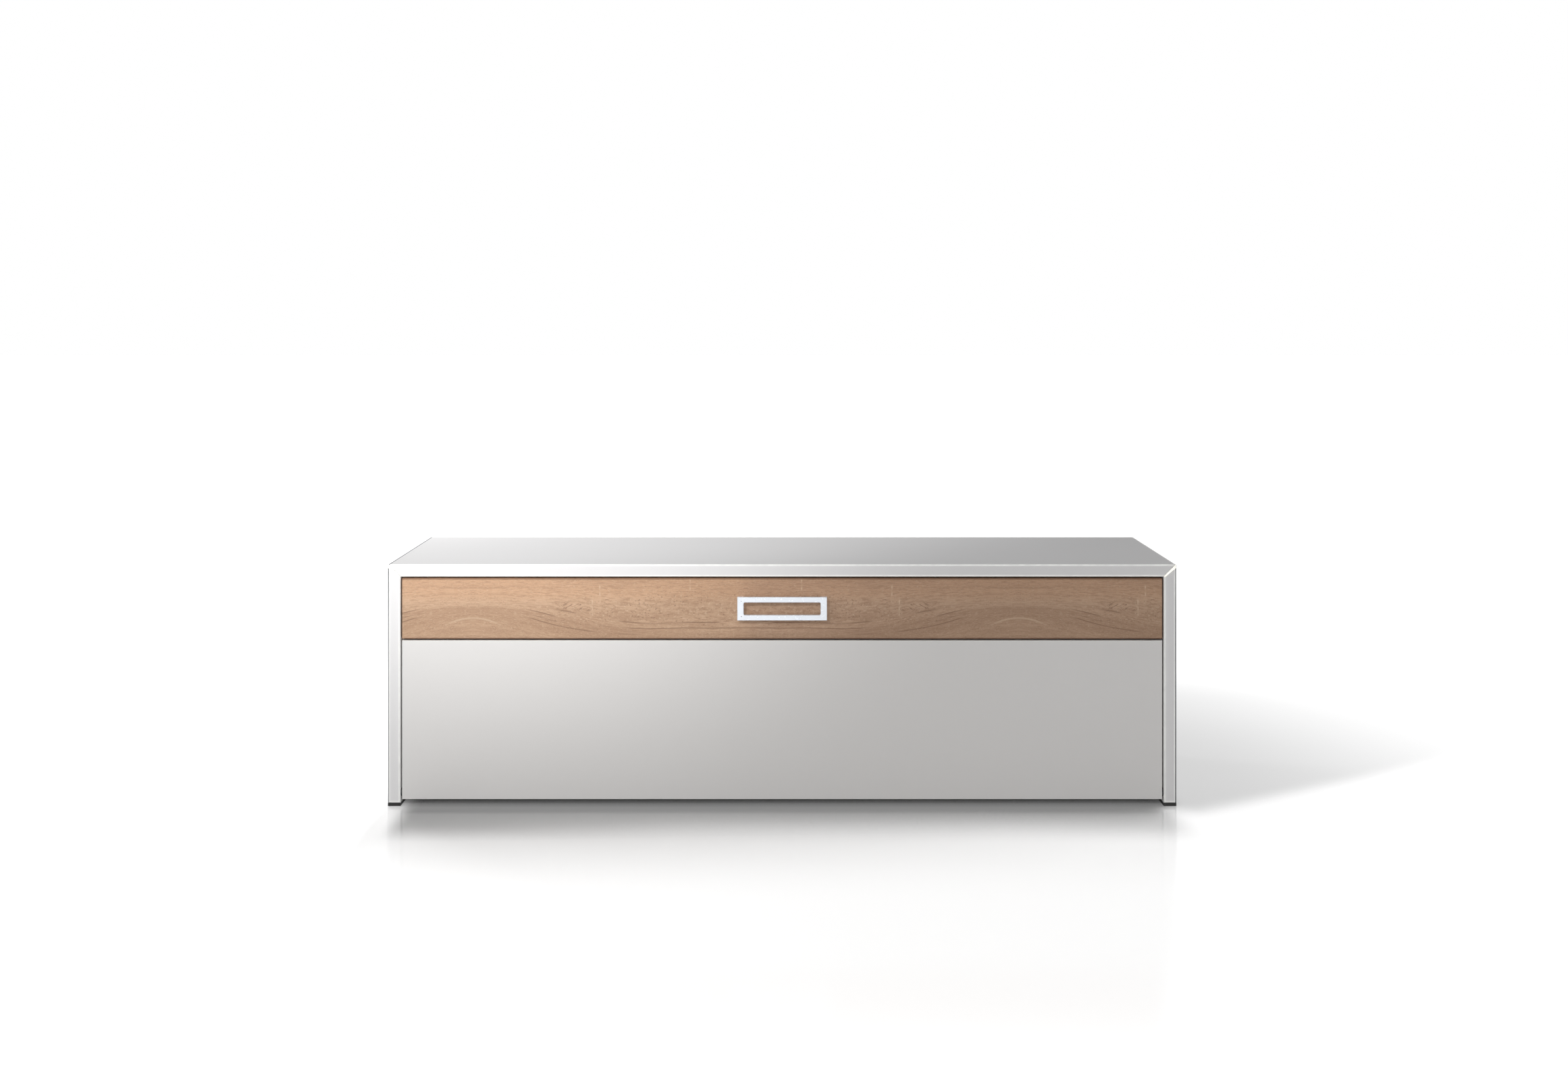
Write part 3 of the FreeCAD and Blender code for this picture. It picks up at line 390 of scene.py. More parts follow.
def edge_shade_line(finish, edge):
    """Where the fine grey line of painted shade shows, which runs round the case's outermost edges.
    """
    across, _, up = finish.separate()
    side = cad_box[1][0]
    top_face = [cad_box[1][2] - below for below in TOP_FACE_BELOW]
    width = finish.rise(up, *top_face, LINE_WIDTH, TOP_LINE_WIDTH)
    reach = finish.math("ADD", finish.math("ABSOLUTE", across), width)
    outermost = finish.rise(reach, side - LINE_BLUR, side + LINE_BLUR)
    beside_edge = finish.rise(finish.less(edge, width), LINE_BLUR, -LINE_BLUR)
    low_level = finish.rise(across, *LINE_SPAN, *LINE_LOW_LEVELS)
    high_level = finish.rise(across, *LINE_SPAN, *LINE_HIGH_LEVELS)
    level = finish.rise(up, *LINE_CLIMB, low_level, high_level)
    level = finish.rise(up, *top_face, level, finish.rise(across, *LINE_SPAN, *LINE_TOP_LEVELS))
    return finish.product(outermost, beside_edge, level)


def lacquer(name, node_name, colour, edge_width, sheen=0.25, edge_shaded=False):
    """Sprayed lacquer: a faint drift of tone, fine orange peel, and paler edges that are a painted
    highlight with some wear.
    """
    finish = Finish(name, Specular_IOR_Level=sheen)
    drift = finish.noise(1.6, detail=1.0)
    cloudy = finish.mix(finish.spread(drift), darker(colour, 0.985), colour)
    edge = finish.edge_distance(*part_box(node_name))
    # Painted highlight with some wear: a paler strip along each edge, broken up by noise
    near_edge = finish.rise(edge, edge_width, edge_width * EDGE_PLATEAU_SHARE)
    highlit_and_worn = finish.product(near_edge, finish.rise(finish.noise(90.0, detail=4.0), *EDGE_HIGHLIGHT_AND_WEAR))
    shown = finish.mix(highlit_and_worn, cloudy, EDGE_HIGHLIGHT_WHITE)
    if edge_shaded:
        # Painted shade: a fine grey line round the case's outermost edges, not a joint
        line = edge_shade_line(finish, edge)
        shown = finish.mix(line, shown, EDGE_SHADE_GREY)
        finish.set("Metallic", finish.product(highlit_and_worn, finish.less(1.0, line), EDGE_SHINE))
    finish.set("Base Color", shown)
    finish.set("Roughness", finish.spread(finish.noise(3.0, detail=2.0), 0.44, 0.48))
    finish.bump(finish.noise(260.0, detail=2.0), SMOOTH_RELIEF, 0.25)
    return finish


def faced_board(name, node_name):
    """Matt faced board with a fine pebbled face, and a thin joint line round each edge band."""
    finish = Finish(name)
    drift = finish.noise(3.0, detail=3.0)
    face = finish.mix(finish.spread(drift), darker(BOARD_WHITE, 0.965), BOARD_WHITE)
    edge = finish.edge_distance(*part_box(node_name))
    line = finish.product(finish.rise(edge, *BAND_LINE_START), finish.rise(edge, *BAND_LINE_END))
    faint = finish.product(line, finish.spread(finish.noise(40.0), 0.25, 0.6))
    finish.set("Base Color", finish.mix(faint, face, BOARD_CORE))
    finish.set("Roughness", finish.spread(finish.noise(14.0, detail=4.0), 0.42, 0.56))
    finish.bump(finish.noise(900.0, detail=1.0), PEBBLE_RELIEF, 0.5)
    return finish


def metal(name, colour, roughness, stretch=(1, 1, 1)):
    """Plated steel with fine drawn or tumbled marks."""
    finish = Finish(name, Metallic=1.0)
    marks = finish.noise(300.0, stretch=stretch, detail=4.0)
    finish.set("Base Color", finish.mix(finish.spread(marks), darker(colour, 0.78), colour))
    cloud = finish.noise(60.0, detail=3.0)
    finish.set("Roughness", finish.spread(cloud, roughness * 0.8, roughness * 1.3))
    finish.bump(marks, SMOOTH_RELIEF, 0.4)
    return finish


def moulded(name, colour, roughness, grain=700.0, depth=0.9, metallic=0.0):
    """Moulded plastic or enamel with a fine grain and slight variation of sheen."""
    finish = Finish(name, Metallic=metallic)
    drift = finish.noise(45.0, detail=3.0)
    finish.set("Base Color", finish.mix(finish.spread(drift), darker(colour, depth), colour))
    sheen = finish.spread(finish.noise(120.0), roughness * 0.85, roughness * 1.2)
    finish.set("Roughness", sheen)
    finish.bump(finish.noise(grain, detail=2.0), SMOOTH_RELIEF, 0.4)
    return finish


def beech():
    finish = Finish("beech")
    streak = finish.noise(120.0, (1, 0.06, 1), detail=4.0)
    finish.set("Base Color", finish.mix(finish.spread(streak), BEECH_DARK, BEECH_LIGHT))
    finish.set("Roughness", finish.spread(streak, 0.55, 0.7))
    finish.bump(streak, GRAIN_RELIEF, 0.4)
    return finish


class OakVeneer(Finish):
    """Oak laid across the front: arches at the mirror lines, pores, flecks and a few dark lines."""

    def __init__(self):
        super().__init__("oak_veneer", Specular_IOR_Level=0.35)
        self.low, self.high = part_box("drawer_front")
        self.across, self.along, self.up = self.separate()
        self.leaf = self.math("PINGPONG", self.less(self.across, FIRST_MIRROR), LEAF_LENGTH)
        self.height = self.less(self.up, (self.low.z + self.high.z) / 2)
        self.flat = self.combine(self.leaf, self.along, self.height)
        self.ring = self.bent_height()
        self.grain = self.combine(self.leaf, self.along, self.ring)
        self.fibre = self.noise(430.0, (0.14, 1, 2.0), place=self.grain, roughness=0.7)
        colour = self.tones()
        colour, pore = self.pores(colour)
        colour = self.mix(self.dark_lines(), colour, OAK_LINE)
        colour = self.mix(self.pale_arch(), colour, OAK_FLECK)
        colour = self.mix(self.chatter_marks(), colour, OAK_LINE)
        colour = self.mix(self.ray_flecks(), colour, OAK_FLECK)
        self.set("Base Color", self.mix(self.lipping(), colour, OAK_LIPPING_AND_SHADE))
        self.set("Roughness", self.spread(self.fibre, 0.52, 0.66))
        self.bump(self.less(self.product(self.fibre, 0.3), pore), GRAIN_RELIEF, 0.5)

    def bent_height(self):
        """The grain dips away from each mirror line in the lower half, and runs level above it."""
        waviness = self.noise(4.0, (1, 1, 0.6), detail=2.0, place=self.flat)
        wave = self.product(self.less(waviness, 0.5), WAVE_DEPTH)
        share = self.math("DIVIDE", self.leaf, HUMP_REACH)
        hump = self.math("EXPONENT", self.product(share, share, -1.0))
        dip = self.product(self.less(1.0, hump), HUMP_DROP)
        lower = self.rise(self.height, *HUMP_ZONE)
        return self.math("ADD", self.math("ADD", self.height, self.product(dip, lower)), wave)

    def tones(self):
        """Broad tones, streaks and fibre, all drawn out along the grain."""
        tone = self.noise(14.0, (0.2, 1, 1.6), place=self.grain)
        streak = self.noise(70.0, (0.08, 1, 2.2), detail=5.0, place=self.grain, roughness=0.6)
        speck = self.noise(560.0, (0.3, 1, 1.6), detail=2.0, place=self.grain, roughness=0.8)
        colour = self.mix(self.rise(tone, 0.36, 0.66), OAK_MIDDLE, OAK_LIGHT)
        warmth = self.product(self.rise(self.height, *WARM_ZONE), WARM_SHARE)
        colour = self.mix(warmth, colour, OAK_WARM)
        colour = self.mix(self.product(self.rise(streak, 0.44, 0.74), 0.42), colour, OAK_DARK)
        belt_off = self.math("ABSOLUTE", self.math("ADD", self.ring, BELT_DROP))
        colour = self.mix(self.rise(belt_off, *BELT), colour, OAK_DARK)
        colour = self.mix(self.rise(self.fibre, 0.4, 0.72, 0.0, 0.62), colour, OAK_DARK)
        colour = self.mix(self.rise(speck, 0.5, 0.76, 0.0, 0.6), colour, OAK_FLECK)

        # The leaves after the first joint were turned over; painted shade makes them a little
        # darker, for the light that their turned grain gives back less
        joint = FIRST_MIRROR + LEAF_LENGTH
        turned = self.rise(self.across, joint - LEAF_JOINT_BLUR, joint + LEAF_JOINT_BLUR)
        return self.mix(turned, colour, OAK_TURNED_SHADE, blend="MULTIPLY")

    def pores(self, colour):
        """Short dark dashes, thicker where a second noise gathers them."""
        cells = self.noise(900.0, (0.28, 1, 1.2), detail=1.0, place=self.grain)
        gathered = self.noise(30.0, (0.5, 1, 1.6), detail=2.0, place=self.grain)
        limit = self.rise(gathered, 0.35, 0.68, 0.71, 0.63)
        pore = self.rise(self.less(cells, limit), 0.0, 0.05)
        return self.mix(self.product(pore, PORE_SHARE), colour, OAK_LINE), pore

    def dark_lines(self):
        """Lines that follow the arches out from each mirror line, broken up along their length."""
        lines = 0.0
        for rank, place in enumerate(GRAIN_LINES):
            off = self.math("ABSOLUTE", self.less(self.ring, place))
            thin = self.rise(off, LINE_HALF_WIDTH - LINE_THINNING * rank, LINE_CORE)
            apart = {0: self.flat, 1: (3.1 * rank, 0, 0)}
            offset = self.add("VectorMath", apart, operation="ADD").outputs[0]
            broken = self.rise(self.noise(11.0, detail=2.0, place=offset), 0.44, 0.62, 0.0, 0.6)
            lines = self.math("MAXIMUM", lines, self.product(thin, broken))
        beyond = self.rise(self.leaf, *LINES_ALONG)
        return self.product(lines, beyond, self.rise(self.height, *LINES_UNDER))

    def pale_arch(self):
        """One pale arch under each mirror line."""
        drop = self.product(self.leaf, self.leaf, ARCH_BEND)
        off = self.math("ADD", self.math("ADD", self.height, drop), ARCH_DROP)
        thin = self.rise(self.math("ABSOLUTE", off), *ARCH_HALF_WIDTH)
        return self.product(thin, self.rise(self.leaf, *ARCH_REACH), ARCH_SHARE)

    def chatter_marks(self):
        """Slanting marks beside the arch, where the grain turns."""
        aside = self.math("DIVIDE", self.less(self.leaf, CHATTER_PLACE), CHATTER_HALF_LENGTH)
        over = self.math("DIVIDE", self.less(self.height, CHATTER_RISE), CHATTER_HALF_HEIGHT)
        far = self.math("ADD", self.product(aside, aside), self.product(over, over))
        turned = self.less(self.height, self.product(self.leaf, CHATTER_SLANT))
        slant = self.combine(self.leaf, self.along, turned)
        chatter = self.noise(300.0, (0.35, 1, 1.2), detail=2.0, place=slant)
        within = self.rise(far, 1.0, 0.2)
        return self.product(self.rise(chatter, 0.58, 0.7), within, CHATTER_SHARE)

    def ray_flecks(self):
        """Narrow pale bars that stand across the grain: a few long ones and faint patches."""
        bars = self.noise(330.0, (1.0, 1, 0.09), detail=1.0, place=self.flat)
        patch = self.noise(9.0, (1.0, 1, 2.5), detail=1.0, place=self.flat)
        fleck = self.product(self.rise(bars, 0.62, 0.72), self.rise(patch, 0.52, 0.66), RAY_SHARE)
        uneven = self.noise(150.0, (1.0, 1, 0.8), detail=2.0, place=self.flat)
        patchy = self.rise(uneven, 0.35, 0.65, 0.12, 0.6)
        for place, foot, top in RAY_BARS:
            bar = self.rise(self.math("ABSOLUTE", self.less(self.leaf, place)), *BAR_HALF_WIDTH)
            start = self.rise(self.height, foot - BAR_END_OUT, foot + BAR_END_IN)
            stop = self.rise(self.height, top + BAR_END_OUT, top - BAR_END_IN)
            fleck = self.math("MAXIMUM", fleck, self.product(bar, start, stop, patchy))
        return fleck

    def lipping(self):
        """The browner upper and lower edges, where the veneer ends on its solid lipping; the brown
        is partly painted shade along the gaps above and below.
        """
        foot = self.rise(self.up, *(self.low.z + height for height in LIPPING_HEIGHT))
        head = self.rise(self.up, *(self.high.z - height for height in LIPPING_HEIGHT))
        face = self.rise(self.along, *(self.low.y + depth for depth in LIPPING_DEPTH))
        return self.product(self.math("MAXIMUM", foot, head), face, LIPPING_SHARE)


def mark_pins(finish):
    """Two small grey pins, flush with the face, at the handle's left end."""
    low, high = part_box("handle")
    across, along, up = finish.separate()
    aside = finish.less(across, low.x + PIN_INSET)
    front = finish.rise(along, *(low.y + depth for depth in PIN_FACE))
    colour = finish.shader.inputs["Base Color"].links[0].from_socket
    pins = ((low.z + PIN_INSET, LOWER_PIN_SHARE), (high.z - PIN_INSET, UPPER_PIN_SHARE))
    for height, share in pins:
        over = finish.less(up, height)
        squares = finish.math("ADD", finish.product(aside, aside), finish.product(over, over))
        spot = finish.rise(finish.math("SQRT", squares), *PIN_RADIUS, 0.0, share)
        colour = finish.mix(finish.product(spot, front), colour, PIN_GREY)
    finish.set("Base Color", colour)


dress(["top_panel"], lacquer("white_lacquer_top", "top_panel", WHITE, TOP_EDGE, 0.05, edge_shaded=True))
for side, _ in SIDES:
    panel = f"{side}_side_panel"
    dress([panel], lacquer("white_lacquer_" + panel, panel, WHITE, SIDE_EDGE, edge_shaded=True))
dress(["flap_panel"], lacquer("grey_lacquer", "flap_panel", PALE_GREY, FLAP_EDGE))
dress(["drawer_front"], OakVeneer())
for board in (
    "base_panel", "divider_panel", "centre_partition", "right_shelf", "left_shelf",
    "right_drawer_side", "left_drawer_side", "drawer_inner_front", "drawer_back", "drawer_floor",
    "back_panel",
):
    dress([board], faced_board("white_board_" + board, board))
dress(["mitre_splines", "case_tongues", "partition_tongues"], beech())
dress(["shelf_bearers"], moulded("bearer_white", BOARD_WHITE, 0.5))
handle_white = moulded("handle_white", HANDLE_WHITE, 0.24, grain=420.0, depth=0.985, metallic=0.15)
mark_pins(handle_white)
dress(["handle"], handle_white)
dress(["right_glide", "left_glide"], moulded("glide_black", GLIDE_BLACK, 0.5))
dress(
    [f"{side}_{owner}_runner" for side, _ in SIDES for owner in ("case", "drawer")],
    moulded("runner_enamel", ENAMEL_WHITE, 0.35),
)
dress(
    [f"{side}_{end}_roller" for side, _ in SIDES for end in ("front", "rear")]
    + ["flap_bushes", "right_latch_plunger", "left_latch_plunger"],
    moulded("nylon", NYLON_WHITE, 0.4),
)
latch_grey = moulded("latch_grey", LATCH_GREY, 0.45)
dress(["right_latch_housing", "left_latch_housing"], latch_grey)
zinc = metal("zinc_steel", ZINC, 0.3)
dress(
    ["handle_screws", "front_axles", "rear_axles", "strike_plates"]
    + [f"{side}_stay_{piece}" for side, _ in SIDES for piece in ("plate", "foot")],
    zinc,
)
# The flap's pins are painted dark as shade, so that they show no glint at the foot of the upright
# gaps
dress(["flap_pins"], metal("shade_dark_steel", SHADE_DARK_STEEL, 0.5))
dress(["right_stay_rod", "left_stay_rod"], metal("drawn_steel", DRAWN_STEEL, 0.22, (1, 0.05, 1)))
dress(["right_stay_block", "left_stay_block"], metal("stay_nickel", NICKEL, 0.32))
# Partly painted highlight: the mitre strips take a paler cream than the lacquer, half metallic, to
# brighten the line along each mitre
mitre_cream_highlight = moulded("mitre_cream_highlight", CREAM_HIGHLIGHT, 0.25, metallic=0.5)


# Screws

def add_object(name, mesh):
    item = bpy.data.objects.new(name, mesh)
    bpy.context.scene.collection.objects.link(item)
    return item


def screw_mesh(name, radius, height, rim_share):
    """A screw head that stands along +Z, with a rim, a slightly smaller top and a cross recess."""
    mesh = bpy.data.meshes.new(name)
    shape = bmesh.new()

    def ring(size, level):
        angles = [2 * math.pi * step / ROUND_STEPS for step in range(ROUND_STEPS)]
        return [shape.verts.new((size * math.cos(a), size * math.sin(a), level)) for a in angles]

    foot = ring(radius, 0.0)
    rim = ring(radius, height * rim_share)
    top = ring(radius * HEAD_TOP_SHARE, height)
    for lower, upper in ((foot, rim), (rim, top)):
        for step in range(ROUND_STEPS):
            following = (step + 1) % ROUND_STEPS
            shape.faces.new((lower[step], lower[following], upper[following], upper[step]))
    arm = radius * CROSS_ARM_SHARE
    half = radius * CROSS_HALF_SHARE
    corners = [
        (arm, -half), (arm, half), (half, half), (half, arm), (-half, arm), (-half, half),
        (-arm, half), (-arm, -half), (-half, -half), (-half, -arm), (half, -arm), (half, -half),
    ]
    mouth = [shape.verts.new((x, y, height)) for x, y in corners]
    bottom = height - radius * CROSS_DEPTH_SHARE
    narrow, flat = CROSS_TAPER
    floor = [shape.verts.new((x * narrow, y * flat, bottom)) for x, y in corners]
    count = len(corners)
    for step in range(count):
        following = (step + 1) % count
        shape.faces.new((mouth[following], mouth[step], floor[step], floor[following]))
    shape.faces.new(floor)
    edges = [
        shape.edges.get((outline[step], outline[(step + 1) % len(outline)]))
        for outline in (mouth, top) for step in range(len(outline))
    ]
    bmesh.ops.triangle_fill(shape, use_beauty=True, use_dissolve=False, edges=edges)
    bmesh.ops.recalc_face_normals(shape, faces=shape.faces)
    shape.to_mesh(mesh)
    shape.free()
    mesh.materials.append(zinc.material)
    return mesh


flat_head = screw_mesh("flat_screw_head", SCREW_RADIUS, FLAT_HEAD, 0.4)
pan_head = screw_mesh("pan_screw_head", SCREW_RADIUS, PAN_HEAD, 0.45)
handle_head = screw_mesh("handle_screw_head", HANDLE_HEAD_RADIUS, HANDLE_HEAD, 0.5)


def set_screw(name, mesh, place, direction, body):
    """A screw head whose underside lies at the place and whose top looks along the direction."""
    head = add_object(name, mesh)
    head.rotation_mode = "QUATERNION"
    head.rotation_quaternion = Vector(direction).to_track_quat("Z", "Y")
    head.location = place
    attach(head, body)
    return head


def between(low, high, share):
    return low + share * (high - low)


def inner_outer(low, high):
    """How far a piece's near and far faces lie from the cabinet's middle."""
    return sorted((abs(low.x), abs(high.x)))


def screw_runners(side, sign):
    """Three flat screws through the web of each runner."""
    low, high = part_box(f"{side}_case_runner")
    web = inner_outer(low, high)[1] - RUNNER_SHEET
    for rank, share in enumerate(CASE_RUNNER_SHARES, 1):
        place = (sign * web, between(low.y, high.y, share), (low.z + high.z) / 2)
        set_screw(f"{side}_case_runner_screw_{rank}", flat_head, place, (-sign, 0, 0), "case")
    low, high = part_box(f"{side}_drawer_runner")
    web = inner_outer(low, high)[0] + RUNNER_SHEET
    height = between(low.z, high.z, DRAWER_RUNNER_HEIGHT_SHARE)
    for rank, share in enumerate(DRAWER_RUNNER_SHARES, 1):
        place = (sign * web, between(low.y, high.y, share), height)
        set_screw(f"{side}_drawer_runner_screw_{rank}", flat_head, place, (sign, 0, 0), "drawer")


def screw_stays(side, sign):
    """Two flat screws in each stay plate and two in each foot."""
    low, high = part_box(f"{side}_stay_plate")
    plate_face = sign * (inner_outer(low, high)[1] - STAY_SHEET)
    heights = (("lower", low.z + STAY_PLATE_INSET), ("upper", high.z - STAY_PLATE_INSET))
    for name, height in heights:
        place = (plate_face, (low.y + high.y) / 2, height)
        set_screw(f"{side}_stay_plate_{name}_screw", flat_head, place, (-sign, 0, 0), "case")
    low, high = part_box(f"{side}_stay_foot")
    middle = sign * (inner_outer(low, high)[0] + STAY_FOOT_ASIDE)
    heights = (("lower", low.z + STAY_FOOT_INSET), ("upper", high.z - STAY_FOOT_INSET))
    for name, height in heights:
        place = (middle, low.y + STAY_SHEET, height)
        set_screw(f"{side}_stay_foot_{name}_screw", flat_head, place, (0, 1, 0), "flap")


def screw_bearers(side, sign):
    """Three flat screws through each strip under the shelves."""
    low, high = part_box("shelf_bearers")
    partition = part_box("centre_partition")[1].x
    height = (low.z + high.z) / 2
    for rank, share in enumerate(BEARER_SHARES, 1):
        depth = between(low.y, high.y, share)
        outer = (sign * (high.x - BEARER_WIDTH), depth, height)
        inner = (sign * (partition + BEARER_WIDTH), depth, height)
        set_screw(f"{side}_outer_bearer_screw_{rank}", flat_head, outer, (-sign, 0, 0), "case")
        set_screw(f"{side}_inner_bearer_screw_{rank}", flat_head, inner, (sign, 0, 0), "case")


def screw_strike(side, sign):
    """One flat screw in the middle of each strike plate."""
    low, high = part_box("strike_plates")
    place = (sign * (high.x - STRIKE_RADIUS), high.y, (low.z + high.z) / 2)
    set_screw(f"{side}_strike_screw", flat_head, place, (0, 1, 0), "flap")


def back_screw_places():
    """Where the back panel's screws stand: round its edge, and down its middle."""
    low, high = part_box("back_panel")
    places = []
    for share in BACK_COLUMNS:
        across = between(low.x + BACK_INSET, high.x - BACK_INSET, share)
        places += [(across, low.z + BACK_FOOT_INSET), (across, high.z - BACK_INSET)]
    for share in BACK_ROWS:
        height = between(low.z, high.z, share)
        places += [(low.x + BACK_INSET, height), (high.x - BACK_INSET, height), (0.0, height)]
    return places, high.y


def countersinks(places, rear):
    """Cones that cut a shallow seat for each of the back panel's screws."""
    sink = bmesh.new()
    for across, up in places:
        seat = Matrix.Translation((across, rear - SINK_MIDDLE, up))
        bmesh.ops.create_cone(
            sink, cap_ends=True, segments=ROUND_STEPS, radius1=SINK_RADIUS,
            radius2=SINK_MOUTH_RADIUS, depth=SINK_DEPTH,
            matrix=seat @ Matrix.Rotation(-math.pi / 2, 4, "X"),
        )
    mesh = bpy.data.meshes.new("countersinks")
    sink.to_mesh(mesh)
    sink.free()
    return add_object("countersinks", mesh)


def sink_back_screws():
    """The back panel with a countersink for each screw, and the heads just below its face."""
    places, rear = back_screw_places()
    cutter = countersinks(places, rear)
    whole = bmesh.new()
    whole.from_mesh(nodes["back_panel"].data)
    bmesh.ops.remove_doubles(whole, verts=whole.verts, dist=WELD_DISTANCE)
    mesh = bpy.data.meshes.new("back_board")
    whole.to_mesh(mesh)
    whole.free()
    for slot in nodes["back_panel"].material_slots:
        mesh.materials.append(slot.material)
    board = add_object("back_board", mesh)
    cut = board.modifiers.new("countersinks", "BOOLEAN")
    cut.object = cutter
    cut.solver = "EXACT"
    bpy.context.view_layer.update()
    shaped = board.evaluated_get(bpy.context.evaluated_depsgraph_get())
    shaped_mesh = bpy.data.meshes.new_from_object(shaped)
    board.modifiers.clear()
    board.data = shaped_mesh
    bpy.data.objects.remove(cutter)
    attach(board, "case")
    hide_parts("back_panel")
    for rank, (across, up) in enumerate(places, 1):
        place = (across, rear - SUNK_HEAD, up)
        set_screw(f"back_screw_{rank:02d}", flat_head, place, (0, 1, 0), "case")


def screw_handle():
    """Pan heads inside the drawer, on the ends of the handle's machine screws."""
    low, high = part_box("handle_screws")
    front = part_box("drawer_inner_front")[1].y
    for side, sign in SIDES:
        place = (sign * (high.x - HANDLE_HEAD_RADIUS), front, (low.z + high.z) / 2)
        head = set_screw(f"{side}_handle_screw_head", handle_head, place, (0, 1, 0), "drawer")
        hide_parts("handle_screws")


for side, sign in SIDES:
    screw_runners(side, sign)
    screw_stays(side, sign)
    screw_bearers(side, sign)
    screw_strike(side, sign)
sink_back_screws()
screw_handle()


# Small moulded pieces

def slab(name, low, high, bevel, finish, body):
    """A block with rounded edges between two corners."""
    mesh = bpy.data.meshes.new(name)
    shape = bmesh.new()
    bmesh.ops.create_cube(shape, size=1.0)
    low, high = Vector(low), Vector(high)
    for vertex in shape.verts:
        vertex.co = Vector(
            between(low[axis], high[axis], vertex.co[axis] + 0.5) for axis in range(3)
        )
    bmesh.ops.bevel(shape, geom=shape.edges, offset=bevel, segments=3, affect="EDGES", profile=0.5)
    shape.to_mesh(mesh)
    shape.free()
    for polygon in mesh.polygons:
        polygon.use_smooth = True
    mesh.materials.append(finish.material)
    piece = add_object(name, mesh)
    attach(piece, body)


def latch_lugs(side):
    """Screwed lugs on both sides of a latch housing."""
    low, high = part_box(f"{side}_latch_housing")
    foot = high.z - LUG_THICKNESS
    front, rear = (between(low.y, high.y, share) for share in LUG_SHARES)
    spans = (("outer", high.x, high.x + LUG_LENGTH), ("inner", low.x - LUG_LENGTH, low.x))
    for name, start, end in spans:
        slab(
            f"{side}_latch_{name}_lug", (start, front, foot), (end, rear, high.z),
            LUG_BEVEL, latch_grey, "case",
        )
        place = ((start + end) / 2, (front + rear) / 2, foot)
        set_screw(f"{side}_latch_{name}_screw", pan_head, place, (0, 0, -1), "case")


def mitre_strip(side, sign):
    """A slim tapering bevel along a mitre's front, high at its lower edge, sloping upwards."""
    low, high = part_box("top_panel")
    inner = inner_outer(*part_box(f"{side}_side_panel"))[0]
    corner = Vector((high.x, high.z))
    foot = Vector((inner, high.z - (high.x - inner)))
    along = (foot - corner).normalized()
    across = Vector((along.y, -along.x))
    if across.y > 0:
        across = -across
    ends = (
        (corner, STRIP_CORNER_WIDTH),
        (foot - along * STRIP_FOOT_SHORT, STRIP_FOOT_WIDTH),
    )
    mesh = bpy.data.meshes.new(f"{side}_mitre_strip")
    shape = bmesh.new()
    rings = []
    for start, width in ends:
        ridge = (width - STRIP_RIDGE_INSET, STRIP_LIFT_SHARE * width)
        ring = []
        for offset, lift in ((0.0, 0.0), ridge, (width, 0.0)):
            spot = start + across * offset
            spot += along * max(0.0, (spot.x - high.x) / abs(along.x))
            ring.append(shape.verts.new((sign * spot.x, low.y - lift, spot.y)))
        rings.append(ring)
    for step in range(2):
        shape.faces.new((rings[0][step], rings[0][step + 1], rings[1][step + 1], rings[1][step]))
    for ring in rings:
        shape.faces.new(ring)
    bmesh.ops.recalc_face_normals(shape, faces=shape.faces)
    shape.to_mesh(mesh)
    shape.free()
    mesh.materials.append(mitre_cream_highlight.material)
    strip = add_object(f"{side}_mitre_strip", mesh)
    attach(strip, "case")


for side, sign in SIDES:
    latch_lugs(side)
for side, sign in SIDES:
    mitre_strip(side, sign)


# Floor, light and camera

def stand_light(name, data, place, target):
    light = add_object(name, data)
    light.location = place
    way = Vector(target) - Vector(place)
    light.rotation_mode = "QUATERNION"
    light.rotation_quaternion = way.to_track_quat("-Z", "Y")
    return light


def soft_box(name, place, target, width, height, power, glossy=True):
    data = bpy.data.lights.new(name, "AREA")
    data.shape = "RECTANGLE"
    data.size = width
    data.size_y = height
    data.energy = power
    light = stand_light(name, data, place, target)
    light.visible_glossy = glossy
    light.visible_camera = False


def soft_spot(name, place, target, angle, radius, power):
    data = bpy.data.lights.new(name, "SPOT")
    data.spot_size = math.radians(angle)
    data.spot_blend = 1.0
    data.shadow_soft_size = radius
    data.energy = power
    stand_light(name, data, place, target)


def floor_distance(finish):
    """How far a point lies outside the cabinet's footprint."""
    _, high = cad_box
    corner = (high[0], high[1], 0.0)
    size = finish.add("VectorMath", {0: finish.place}, operation="ABSOLUTE").outputs[0]
    past = finish.add("VectorMath", {0: size, 1: corner}, operation="SUBTRACT").outputs[0]
    outside = finish.add("VectorMath", {0: past, 1: (0, 0, 0)}, operation="MAXIMUM").outputs[0]
    return finish.add("VectorMath", {0: outside}, operation="LENGTH").outputs["Value"]


def foot_shadow(finish, across, along, sky):
    """The shadow at the case's feet, deeper towards both ends: for the glow and for the colour."""
    ahead = finish.less(finish.math("ABSOLUTE", along), CASE_HALF_DEPTH)
    left_end = finish.rise(across, *LEFT_END_SHADE)
    right_end = finish.rise(across, *RIGHT_END_SHADE)
    belt = finish.product(finish.rise(ahead, *BELT_NEAR), finish.rise(ahead, *BELT_FAR))
    ends = finish.less(1.0, finish.product(belt, finish.math("ADD", left_end, right_end)))
    shade = finish.product(finish.rise(sky, *SKY_SHADE), ends)
    edge = finish.rise(ahead, *UNDERSIDE_FADE)
    contact = finish.product(finish.rise(ahead, *CONTACT_FADE), edge, ends)
    under = finish.product(finish.rise(across, *LEFT_FOOT), finish.rise(across, *RIGHT_FOOT))
    return [finish.rise(under, 0.0, 1.0, 1.0, level) for level in (shade, contact)]


